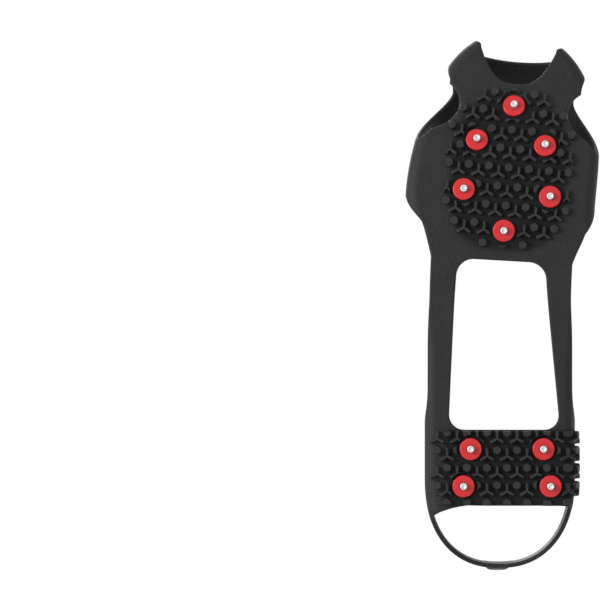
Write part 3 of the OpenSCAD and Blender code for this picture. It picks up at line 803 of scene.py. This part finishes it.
def strap_lines(side, place):
    """Climbs of the strap's lines at each place: on the bottom, round the edge and up the side."""
    low, high = strap_lower(side, place), strap_upper(place)
    wide = high - low
    rest = (1 - (G_WIN_IN - G_BAR_IN) / (G_BAR_OUT - G_BAR_IN)) * wide
    b = np.minimum(np.maximum(-EDGE_ARC, low + EDGE_SHARE * wide), high - rest)
    c = np.minimum(np.maximum(EDGE_ARC, b + EDGE_SHARE * wide), high - rest / 2)
    even = spread(0, 1, 4 * FINE)
    near = low + RIM_SHARES * np.minimum(RIM, RIM_LIMIT * (b - low))
    far = high - RIM_SHARES[::-1] * np.minimum(RIM, RIM_LIMIT * (high - c))
    lower, upper = mix(near[:, -1:], b, even), mix(c, far[:, :1], even)
    edge = mix(b, c, even ** EDGE_SPACING)
    return np.concatenate([near[:, :-1], lower, edge, upper, far], axis=1)


def toe_sheets():
    """Front and rear bands of the toe piece, split by the side windows."""
    bar = 1 + (strap_lines(1.0, np.array([[PAD_REAR]]))[0] + EDGE_ARC) / FLAT_HALF
    half = np.concatenate([
        spread(0, G_BAR_IN, 3 * FINE),
        bar[:-1],
        mix(G_BAR_OUT, 1, spread(0, 1, 5 * FINE) ** 2),
        spread(1, 2, 4 * FINE),
        mix(G_WIN_TOP, 2, (1 - spread(0, 1, 8 * FINE)) ** 2),
        mix(G_WIN_TOP, 3, spread(0, 1, 7 * FINE) ** 1.5),
    ])
    girth = np.concatenate([half, [3.0], -half[:0:-1]])[:, None]
    g = np.abs(girth)
    mid, gap = window_mid(g), window_open(g)
    front, rear = front_edge(g), rear_edge(g)
    return [
        toe_point(girth, front - edged(front - mid - gap, 5 * FINE)),
        toe_point(girth, mid - gap - edged(mid - gap - rear, 9 * FINE)),
    ]


def side_places():
    """Places along one side from the forefoot pad to the heel's back, closer at each corner."""
    span = 1.5 * WINDOW_CORNER
    k = spread(0, 1, 5 * FINE)
    pad = HEEL_FRONT - edged(np.array([HEEL_FRONT - HEEL_CORNER]), 5 * FINE)
    tab = edged(np.array([2 * TAB_HALF]), 4 * FINE) - TAB_HALF
    return np.concatenate([
        PAD_REAR - span * k ** 2,
        spread(PAD_REAR - span, HEEL_FRONT + span, 6 * FINE),
        HEEL_FRONT + span * (1 - k) ** 2,
        pad[:-1],
        HEEL_CORNER - HEEL_SPAN * spread(0, 1, 4 * FINE) ** 2,
        spread(HEEL_CORNER - HEEL_SPAN, TAB_HALF, 9 * FINE),
        -tab[tab < -TINY],
    ])


def strap_sheets():
    """Side bars and heel strap as one grid, the heel pad between them and the pull tab above."""
    half = side_places()
    place = np.concatenate([half, [0.0], half[::-1]])[:, None]
    side = np.where(np.arange(len(place)) <= len(half), 1.0, -1.0)[:, None]
    lines = strap_lines(side, place)
    strap = strap_point(side, slid(side, place, lines), lines)
    rows = np.flatnonzero((half <= HEEL_FRONT + TINY) & (half >= HEEL_CORNER - TINY))
    across = np.linspace(0, 1, 8 * FINE + 1)[None, :, None]
    pad = mix(strap[rows, 0][:, None], strap[-1 - rows, 0][:, None], across)
    back = (HEEL_FRONT - half[rows]) / (HEEL_FRONT - HEEL_CORNER)
    flat_y = mix(HEEL_FRONT, HEEL_REAR, back)[:, None]
    pad[..., 1] += (flat_y - pad[..., 1]) * (1 - (2 * across[..., 0] - 1) ** 4)
    columns = np.flatnonzero(place[:, 0] <= TAB_HALF + TINY)
    near = place[columns, 0]
    rise = edged(np.array([TAB_LEN]), 6 * FINE)[:, None] / TAB_LEN
    climb = strap_upper(near) + TAB_LEN * (1 - TAB_ROUND * (near / TAB_HALF) ** 4) * rise
    tab = strap_point(side[columns, 0], np.broadcast_to(near, climb.shape), climb)
    tab[..., 0] *= 1 - TAB_TAPER * rise
    tab[..., 1] -= TAB_CURL * rise ** 2
    return strap, pad, tab


def rim_distance(points, edges):
    """Distance from each point to the sheet's open edge, at the nearest rim point."""
    ends = np.concatenate([edges, edges[:, ::-1]])
    ends = ends[np.argsort(ends[:, 0], kind="stable")].reshape(-1, 2, 2)
    rim, beside = points[ends[:, 0, 0]], points[ends[:, :, 1]]
    result = np.empty(len(points))
    for block in np.array_split(np.arange(len(points)), RIM_BLOCKS):
        p = points[block]
        near = np.argmin((rim ** 2).sum(axis=1)[None] - 2 * p @ rim.T, axis=1)
        line = beside[near] - rim[near][:, None]
        away = (p - rim[near])[:, None]
        share = clip((away * line).sum(axis=-1) / (line ** 2).sum(axis=-1))
        result[block] = np.linalg.norm(away - share[..., None] * line, axis=-1).min(axis=1)
    return result


def thickened(mesh, thickness):
    """Closed shell of a sheet: two faces t/2 (1 -+ sqrt(1 - (1 - d/r)^2)) off it, d from its open edge."""
    points, normals = point_rows(mesh, "co").astype(float) / MM, point_rows(mesh, "normal")
    quads = corner_points(mesh).reshape(-1, 4)
    sides = np.sort(np.stack([quads, np.roll(quads, -1, axis=1)], axis=-1).reshape(-1, 2), axis=1)
    edges, count = np.unique(sides, axis=0, return_counts=True)
    edges = edges[count == 1]
    near = clip(rim_distance(points, edges) / RIM)
    half = thickness / 2 * np.sqrt(1 - (1 - near) ** 2)[:, None]
    inner, outer = (points + (thickness / 2 + way * half) * normals for way in (-1, 1))
    twin = np.arange(len(points))
    free = np.setdiff1d(twin, edges)
    twin[free] = len(points) + np.arange(len(free))
    return np.concatenate([inner, outer[free]]) * MM, np.concatenate([twin[quads], quads[:, ::-1]])


def revolve(profile, index, steps):
    """Turns a profile of r and h about one stud's axis, square to the sole: r cos t, r sin t, h."""
    middle = turned(*STUDS[index], 0.0)
    c, s = np.cos(sole_tilt(middle[1])), np.sin(sole_tilt(middle[1]))
    t = spread(0, 2 * math.pi, steps)
    r, h = profile.T[..., None]
    points = np.stack([r * np.cos(t), r * np.sin(t), h + 0 * t], axis=-1)
    return middle + points @ np.array([[1.0, 0.0, 0.0], [0.0, c, s], [0.0, -s, c]])


def cut_bores(obj):
    """Cuts the studs' stepped holes: a neck through the rubber and a wider inner seat."""
    neck, seat, depth = NECK_R + FIT, FLANGE_R + FIT, -FLANGE_H - FIT
    radius = [0.0, neck, neck, seat, seat, 0.0]
    height = [-CUT_OUT, -CUT_OUT, depth, depth, CUT_IN, CUT_IN]
    profile = np.stack([radius, height], axis=-1)
    rods = [(revolve(profile, index, BORE_STEPS), False) for index in range(STUD_COUNT)]
    verts, faces = joined(rods, wrap=True)
    cutter = linked("bores", new_mesh("bores", to_frame(verts), faces))
    weld(cutter.data)
    holes = obj.modifiers.new("bores", "BOOLEAN")
    holes.operation = "DIFFERENCE"
    holes.solver = "EXACT"
    holes.object = cutter
    bpy.context.view_layer.objects.active = obj
    bpy.ops.object.modifier_apply(modifier=holes.name)
    bpy.data.meshes.remove(cutter.data)


class CLEAT_OT_harness(bpy.types.Operator):
    """Moulds the rubber harness: toe piece, side bars, heel pad, heel strap and pull tab."""

    bl_idname = "cleat.harness"
    bl_label = "Rubber harness"

    def execute(self, context):
        sizes, colours = context.scene.cleat_sizes, context.scene.cleat_colours
        front, rear = (np.concatenate([band, band[:1]]) for band in toe_sheets())
        strap, pad, tab = strap_sheets()
        verts, faces = joined([(front, True), (rear, True), (strap, False), (pad, True), (tab, True)])
        sheet = new_mesh("sheet", to_frame(verts), faces)
        weld(sheet)
        verts, faces = thickened(sheet, sizes.rubber / MM)
        bpy.data.meshes.remove(sheet)
        obj = new_piece("rubber_harness", verts, faces, rubber_material("rubber", colours, False))
        cut_bores(obj)
        finish_mesh(obj.data, smooth=50.0)
        set_place_maps(obj.data)
        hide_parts("harness")
        return {"FINISHED"}


# Raised lines of the toe band


def band_normal(girth, y):
    """Outward direction of the toe band: across x along, from small steps of girth and place."""
    g = np.clip(girth, -3 + STEP, 3 - STEP)
    across = toe_point(g + STEP, y) - toe_point(g - STEP, y)
    along = toe_point(g, y + STEP) - toe_point(g, y - STEP)
    normal = -np.cross(across, along)
    return normal / np.linalg.norm(normal, axis=-1, keepdims=True)


def height_girth(y):
    """Girth at which the band passes the parting line's height."""
    return halved(LINE_LOW, LINE_HIGH, lambda g: above_sole(toe_point(g, y)) < LINE_HEIGHT)


def bead(girth, y, ahead, half, rise, thickness):
    """Slim bead on the band: an oval cos t, sin t carried along a path to a point at each end."""
    t = spread(0, 2 * math.pi, BEAD_STEPS)[None, :]
    swell = np.sqrt(1 - np.linspace(-1, 1, len(girth)) ** 6)[:, None]
    g = girth[:, None] + ahead[0] * half * swell * np.cos(t)
    p = y[:, None] + ahead[1] * half * swell * np.cos(t)
    out = thickness - BEAD_SINK + rise * swell * np.sin(t)
    return toe_point(g, p) + band_normal(g, p) * out[..., None]


def band_beads(thickness):
    """Ribs across the toe band's top, and the parting line on both of its sides."""
    s = np.linspace(-1, 1, RIB_POINTS)
    top = np.where(s < 0, -3 - s * RIB_SPREAD, 3 - s * RIB_SPREAD)
    places = RIB_REAR + RIB_PITCH * np.arange(RIB_COUNT)
    beads = [bead(top, np.full_like(top, place), (0, 1), RIB_HALF, RIB_RISE, thickness) for place in places]
    g = height_girth(LINE_ENDS)
    mid, gap = window_mid(g), window_open(g)
    ends = ((rear_edge(g)[0], (mid - gap)[0]), ((mid + gap)[1], front_edge(g)[1]))
    for start, end in ends:
        y = np.linspace(start + LINE_GAP, end - LINE_GAP, LINE_POINTS)
        for side in (1, -1):
            path = side * height_girth(y)
            beads.append(bead(path, y, (LINE_GIRTH * side, 0), LINE_HALF, LINE_RISE, thickness))
    return beads


class CLEAT_OT_beads(bpy.types.Operator):
    """Raises the fine ribs on the toe band's top and the parting line on its sides."""

    bl_idname = "cleat.beads"
    bl_label = "Toe band lines"

    def execute(self, context):
        rings = band_beads(context.scene.cleat_sizes.rubber / MM)
        verts, faces = joined([(ring, False) for ring in rings], wrap=True)
        material = rubber_material("rubber_beads", context.scene.cleat_colours, True)
        obj = new_piece("toe_band_lines", to_frame(verts), faces, material)
        weld(obj.data, outward=True)
        finish_mesh(obj.data, smooth=60.0)
        return {"FINISHED"}


# Tread


def six_outline():
    """Hexagon with soft corners, three points to a side."""
    corner = np.arange(6) * math.pi / 3 + math.pi / 6
    ring = np.stack([np.cos(corner), np.sin(corner)], axis=-1) * LUG_R
    after = np.roll(ring, -1, axis=0)
    return mix(ring[:, None], after[:, None], SIDE_SHARES).reshape(-1, 2)


def three_outline():
    """Three straight arms at 120 degrees, with points along each arm."""
    h = ARM_W / 2
    half = np.array([[ARM_ROOT * ARM_LEN, h], [ARM_LEN - ARM_CORNER, h], [ARM_LEN, h - ARM_END]])
    crotch = ARM_CROTCH * h * np.array([[math.cos(math.pi / 3), math.sin(math.pi / 3)]])
    arm = np.concatenate([half * [1, -1], half[::-1], crotch])
    points = []
    for a in np.radians([90, 210, 330]):
        points.append(arm @ np.array([[math.cos(a), math.sin(a)], [-math.sin(a), math.cos(a)]]))
    return np.concatenate(points)


def on_sole(x, y, depth):
    """Carries flat tread points to the rubber: round the sole's edge on the heel, up with the toe."""
    flat = half_width(y) - EDGE_R
    over = np.maximum(0.0, np.abs(x) - flat)
    a = np.minimum(math.pi / 2, over / OUTER_R)
    up = np.maximum(0.0, over - OUTER_R * math.pi / 2)
    side = np.sign(x)
    out = np.minimum(np.abs(x), flat) + EDGE_R * np.sin(a)
    middle = turned(side * out, y, EDGE_R * (1 - np.cos(a)) + up)
    tilt = sole_tilt(middle[..., 1])
    normal = np.stack([side * np.sin(a), np.cos(a) * np.sin(tilt), -np.cos(a) * np.cos(tilt)], axis=-1)
    return middle + normal * depth[..., None]


def lug_places(x0, y0, row, rows, columns):
    """Middles of six-sided lugs on a triangular grid and of three-armed ones between."""
    r, c = np.mgrid[-rows:rows + 1, -columns:columns + 1]
    x = x0 + (c + 0.5 * (r % 2)) * LUG_PITCH
    y = y0 + r * row
    six = np.stack([x, y], axis=-1).reshape(-1, 2)
    return six, six + np.array([LUG_PITCH / 2, -row / 3])


def fore_ok(p):
    """Lugs whose middles lie in an oval: |x/a|^p + |y/b|^p <= 1."""
    across = (np.abs(p[:, 0]) / TREAD_HALF) ** TREAD_POWER
    return across + (np.abs(p[:, 1] - FORE_MID) / TREAD_LEN_HALF) ** TREAD_POWER <= 1


def heel_ok(p):
    """Lugs on the heel pad and, on its inner side, round the sole's edge and up the strap."""
    x, y = p.T
    flat = half_width(y) - EDGE_R
    up = np.abs(x) - flat - OUTER_R * math.pi / 2 + LUG_R
    room = LUG_R - 2 * LUG_EDGE
    along = (y < HEEL_FRONT + room) & (y > HEEL_REAR - room)
    across = (x <= flat + HEEL_OUTER_ROOM) & (x >= -flat - HEEL_INNER_ROOM)
    return across & (up < strap_upper(y) - EDGE_ARC) & along


def lug_mesh(places, outline2d, reach, studs, limits, height, start):
    """Lugs with drafted sides: the outline at four depths, pushed clear of the studs' bare rings."""
    low, high, edge = limits
    gap = np.linalg.norm(places[:, None] - studs[None], axis=-1)
    places = places[(gap > STUD_CLEAR - STUD_REACH * reach).all(axis=1)]
    depths = RUBBER + np.array([-LUG_SINK, 0.0, height - LUG_CHAMFER, height])[:, None]
    flat = places[:, None, None] + outline2d * LUG_SCALES
    for stud in studs:
        away = flat - stud
        dist = np.linalg.norm(away, axis=-1)
        keep = np.maximum(dist, STUD_CLEAR + LUG_SPARE) / np.maximum(dist, TINY)
        flat = stud + away * keep[..., None]
    x = np.clip(flat[..., 0], -edge + LUG_SPARE, edge - LUG_SPARE)
    y = np.clip(flat[..., 1], low + LUG_EDGE + LUG_SPARE, high - LUG_EDGE - LUG_SPARE)
    count, rings, points = x.shape
    wear = np.broadcast_to(LUG_WEAR, x.shape).ravel()
    starts = start + np.arange(count)[:, None, None] * rings * points
    sides = (grid_faces(rings, points, wrap=True)[None] + starts).reshape(-1, 4)
    ends = np.stack([np.arange(points)[::-1], np.arange(points) + (rings - 1) * points])
    caps = (ends[None] + starts).reshape(-1, points)
    return on_sole(x, y, depths).reshape(-1, 3), sides.tolist() + caps.tolist(), wear


def tread_piece(name, grid, ok, studs, limits, height, material):
    """One field of lugs, with the wear of its edges kept as a map."""
    six, three = lug_places(*grid)
    verts, faces, wear = np.empty((0, 3)), [], []
    for places, shape, reach in ((six, six_outline(), LUG_R), (three, three_outline(), ARM_LEN)):
        v, f, w = lug_mesh(places[ok(places)], shape, reach, studs, limits, height, len(verts))
        verts, faces, wear = np.concatenate([verts, v]), faces + f, np.concatenate([wear, w])
    obj = new_piece(name, to_frame(verts), faces, material)
    set_map(obj.data, "edge_wear", wear)
    weld(obj.data, outward=True)
    finish_mesh(obj.data, smooth=30.0)


class CLEAT_OT_tread(bpy.types.Operator):
    """Adds the tread: six-sided lugs on a triangular grid and three-armed lugs between them."""

    bl_idname = "cleat.tread"
    bl_label = "Tread"

    def execute(self, context):
        material = rubber_material("rubber_tread", context.scene.cleat_colours, True)
        height = context.scene.cleat_sizes.lug / MM
        grid, limits = (0.0, FORE_MID, FORE_ROW, 4, 4), (PAD_REAR, SOLE_LEN, TREAD_SIDE)
        tread_piece("tread_forefoot", grid, fore_ok, STUDS[:6], limits, height, material)
        grid, limits = (-HEEL_SHIFT, HEEL_MID, HEEL_ROW, 2, 5), (HEEL_REAR, HEEL_FRONT, 2 * HEEL_HALF)
        tread_piece("tread_heel", grid, heel_ok, STUDS[6:], limits, height, material)
        return {"FINISHED"}


# Studs


def arc(cr, cz, radius, start, end, steps):
    """Points of an arc, from one angle in degrees to another."""
    t = np.radians(np.linspace(start, end, steps))
    return np.stack([cr + radius * np.cos(t), cz + radius * np.sin(t)], axis=-1)


def turn_pieces(look, name, profile, material, smooth, capped):
    """One turned piece on each stud's axis, with its profile's length kept as a map."""
    faces = grid_faces(len(profile), TURN_STEPS, wrap=True).tolist()
    if capped:
        last = (len(profile) - 1) * TURN_STEPS
        faces += [list(range(TURN_STEPS))[::-1], list(range(last, last + TURN_STEPS))]
    steps = np.hypot(*np.diff(profile, axis=0, prepend=profile[:1]).T)
    along = np.repeat(np.cumsum(steps) / MAP_LEN, TURN_STEPS)
    around = np.tile(np.arange(TURN_STEPS) / TURN_STEPS, len(profile))
    for index in range(STUD_COUNT):
        solid = "%s_%02d" % (name, index + 1)
        verts = to_frame(revolve(profile, index, TURN_STEPS))
        obj = new_piece(look + solid, verts, faces, material)
        places = np.stack([around, along], axis=-1)[corner_points(obj.data)]
        layer = obj.data.uv_layers.new(name="turning")
        layer.data.foreach_set("uv", places.astype(np.float32).ravel())
        weld(obj.data, outward=True)
        finish_mesh(obj.data, smooth)
        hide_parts(solid)


class CLEAT_OT_buttons(bpy.types.Operator):
    """Turns the red buttons: an outer disc with a rounded rim, a neck and an inner flange."""

    bl_idname = "cleat.buttons"
    bl_label = "Red buttons"

    def execute(self, context):
        sizes = context.scene.cleat_sizes
        r = sizes.button / MM
        bore = sizes.spike / MM + FIT
        face, back, pocket = -RUBBER - DISC_H, -RUBBER - FIT, -HEAD_H - FIT
        mouth, rim = face + MOUTH_EDGE, r - DISC_RIM
        flange = FLANGE_R - FLANGE_EDGE
        profile = np.concatenate([
            [[bore, pocket - SLOPE], [bore, -DISC_H]],
            arc(bore + MOUTH_EDGE, mouth, MOUTH_EDGE, 180, 270, 4),
            [[bore + DISH_IN, face], [rim - DISH_OUT, face + SLOPE]],
            arc(rim, face + DISC_RIM, DISC_RIM, 270, 360, 7),
            [[r, back - DISC_EDGE - SLOPE]],
            arc(r - DISC_EDGE, back - DISC_EDGE, DISC_EDGE, 0, 90, 4),
            [[NECK_R, back], [NECK_R, -FLANGE_H]],
            arc(flange, FLANGE_EDGE - FLANGE_H, FLANGE_EDGE, 270, 360, 4),
            arc(flange, -FLANGE_EDGE, FLANGE_EDGE, 0, 90, 4),
            [[HEAD_R + LIP, 0.0], [HEAD_R + FIT, -FIT], [HEAD_R + FIT, pocket], [bore, pocket - SLOPE]],
        ])
        material = red_material(context.scene.cleat_colours)
        turn_pieces("red_", "stud_button", profile, material, smooth=35.0, capped=False)
        return {"FINISHED"}


class CLEAT_OT_spikes(bpy.types.Operator):
    """Turns the steel spikes: a flat head, a shank and a chamfered tip with a hollow end."""

    bl_idname = "cleat.spikes"
    bl_label = "Steel spikes"

    def execute(self, context):
        sizes = context.scene.cleat_sizes
        r = sizes.spike / MM
        tip = -RUBBER - sizes.spike_out / MM
        head = HEAD_R - HEAD_EDGE
        profile = np.concatenate([
            [[HEAD_MID, 0.0], [head - LIP, 0.0]],
            arc(head, -HEAD_EDGE, HEAD_EDGE, 90, 0, 4),
            [[HEAD_R, -HEAD_H], [r, -HEAD_H - SLOPE], [r, -SHANK_RING], [r, tip + TIP_EDGE + LIP]],
            arc(r - TIP_EDGE, tip + TIP_EDGE, TIP_EDGE, 0, -70, 6),
            TIP_HOLLOW + [0.0, tip],
        ])[::-1]
        material = steel_material(context.scene.cleat_colours)
        turn_pieces("turned_", "steel_spike", profile, material, smooth=40.0, capped=True)
        return {"FINISHED"}


# Stage


def floor_material(colour):
    """Pale floor, clear from below and to the first shadow, diffuse and glossy rays."""
    material, wires, shader, coords = base_material("pale_floor")
    tone = wires.add("TexNoise", Vector=coords["Object"], Scale=3.0, Detail=2.0).outputs["Fac"]
    tone = wires.blend(tone, rgba(colour, gain=0.985), rgba(colour, gain=1.015))
    wires.into(shader, Base_Color=tone, Roughness=0.85, Specular_IOR_Level=0.1)
    path = wires.add("LightPath").outputs
    unseen = wires.either(path["Is Shadow Ray"], path["Is Diffuse Ray"], path["Is Glossy Ray"])
    first = wires.math("LESS_THAN", path["Diffuse Depth"], wires.math("ADD", path["Is Diffuse Ray"], 0.5))
    below = wires.add("NewGeometry").outputs["Backfacing"]
    through = wires.either(below, wires.math("MULTIPLY", unseen, first))
    blend = wires.add("MixShader", Fac=through)
    wires.feed(blend.inputs[1], shader.outputs[0])
    wires.feed(blend.inputs[2], wires.add("BsdfTransparent").outputs[0])
    wires.into(wires.tree.nodes["Material Output"], Surface=blend.outputs[0])
    return material


def white_world():
    """World that is white to the camera and in reflections, soft grey elsewhere."""
    world = bpy.data.worlds.new("studio")
    bpy.context.scene.world = world
    world.use_nodes = True
    wires = Wires(world.node_tree)
    path = wires.add("LightPath").outputs
    seen = wires.either(path["Is Camera Ray"], path["Is Transmission Ray"], path["Is Glossy Ray"])
    strength = wires.scaled(seen, gain=1.0 - AMBIENT, base=AMBIENT)
    wires.into(world.node_tree.nodes["Background"], Color=(1.0, 1.0, 1.0, 1.0), Strength=strength)


def soft_lamp(name, place, target, size, power):
    """A round lamp at a place, turned to a target."""
    lamp = bpy.data.lights.new(name, "AREA")
    lamp.shape = "DISK"
    lamp.size = size
    lamp.energy = power
    obj = linked(name, lamp)
    obj.location = place
    aim = np.array(target) - np.array(place)
    aim = aim / np.linalg.norm(aim)
    obj.rotation_euler = (math.acos(-aim[2]), 0.0, math.atan2(-aim[0], aim[1]))


class CLEAT_OT_stage(bpy.types.Operator):
    """Sets the pale floor, the soft lamps above and below, the white world and the camera."""

    bl_idname = "cleat.stage"
    bl_label = "Stage"

    def execute(self, context):
        corners = FLOOR_HALF * np.array([[-1, -1, 0], [1, -1, 0], [1, 1, 0], [-1, 1, 0]])
        mesh = new_mesh("floor", corners, [[0, 1, 2, 3]])
        mesh.materials.append(floor_material(context.scene.cleat_colours.floor))
        floor = linked("floor", mesh)
        white_world()
        for lamp in LAMPS:
            soft_lamp(*lamp)
        context.scene.view_settings.view_transform = "Standard"
        camera = bpy.data.cameras.new("camera")
        camera.sensor_width = SENSOR
        camera.lens = SENSOR * VIEW_DISTANCE / (VIEW_WIDTH * VIEW_PIXEL)
        camera.clip_end = VIEW_END
        obj = linked("camera", camera)
        across, along = VIEW_ACROSS * VIEW_PIXEL + OFFSET[0] * MM, VIEW_ALONG * VIEW_PIXEL + OFFSET[1] * MM
        obj.location = (across, along, VIEW_HEIGHT - VIEW_DISTANCE)
        obj.rotation_euler = (0.0, math.pi, 0.0)
        context.scene.camera = obj
        return {"FINISHED"}


class CLEAT_PT_panel(bpy.types.Panel):
    """Lists the cleat's sizes, colours and operators in the sidebar."""

    bl_idname = "CLEAT_PT_panel"
    bl_label = "Ice Cleat"
    bl_space_type = "VIEW_3D"
    bl_region_type = "UI"
    bl_category = "Ice Cleat"

    def draw(self, context):
        for settings in (context.scene.cleat_sizes, context.scene.cleat_colours):
            box = self.layout.box()
            for key in settings.__annotations__:
                box.prop(settings, key)
        for operator in OPERATORS:
            self.layout.operator(operator.bl_idname)


OPERATORS = (
    CLEAT_OT_stage, CLEAT_OT_harness, CLEAT_OT_beads, CLEAT_OT_tread, CLEAT_OT_buttons, CLEAT_OT_spikes
)
CLASSES = (CleatSizes, CleatColours) + OPERATORS + (CLEAT_PT_panel,)


def register():
    """Adds the add-on's classes and the scene's settings."""
    for item in CLASSES:
        bpy.utils.register_class(item)
    bpy.types.Scene.cleat_sizes = PointerProperty(type=CleatSizes)
    bpy.types.Scene.cleat_colours = PointerProperty(type=CleatColours)


def unregister():
    """Takes the settings and the classes away again."""
    del bpy.types.Scene.cleat_colours
    del bpy.types.Scene.cleat_sizes
    for item in reversed(CLASSES):
        bpy.utils.unregister_class(item)


def main():
    """Builds the stage and all the pieces."""
    register()
    bpy.ops.cleat.stage()
    bpy.ops.cleat.harness()
    bpy.ops.cleat.beads()
    bpy.ops.cleat.tread()
    bpy.ops.cleat.buttons()
    bpy.ops.cleat.spikes()


if __name__ == "__main__":
    main()
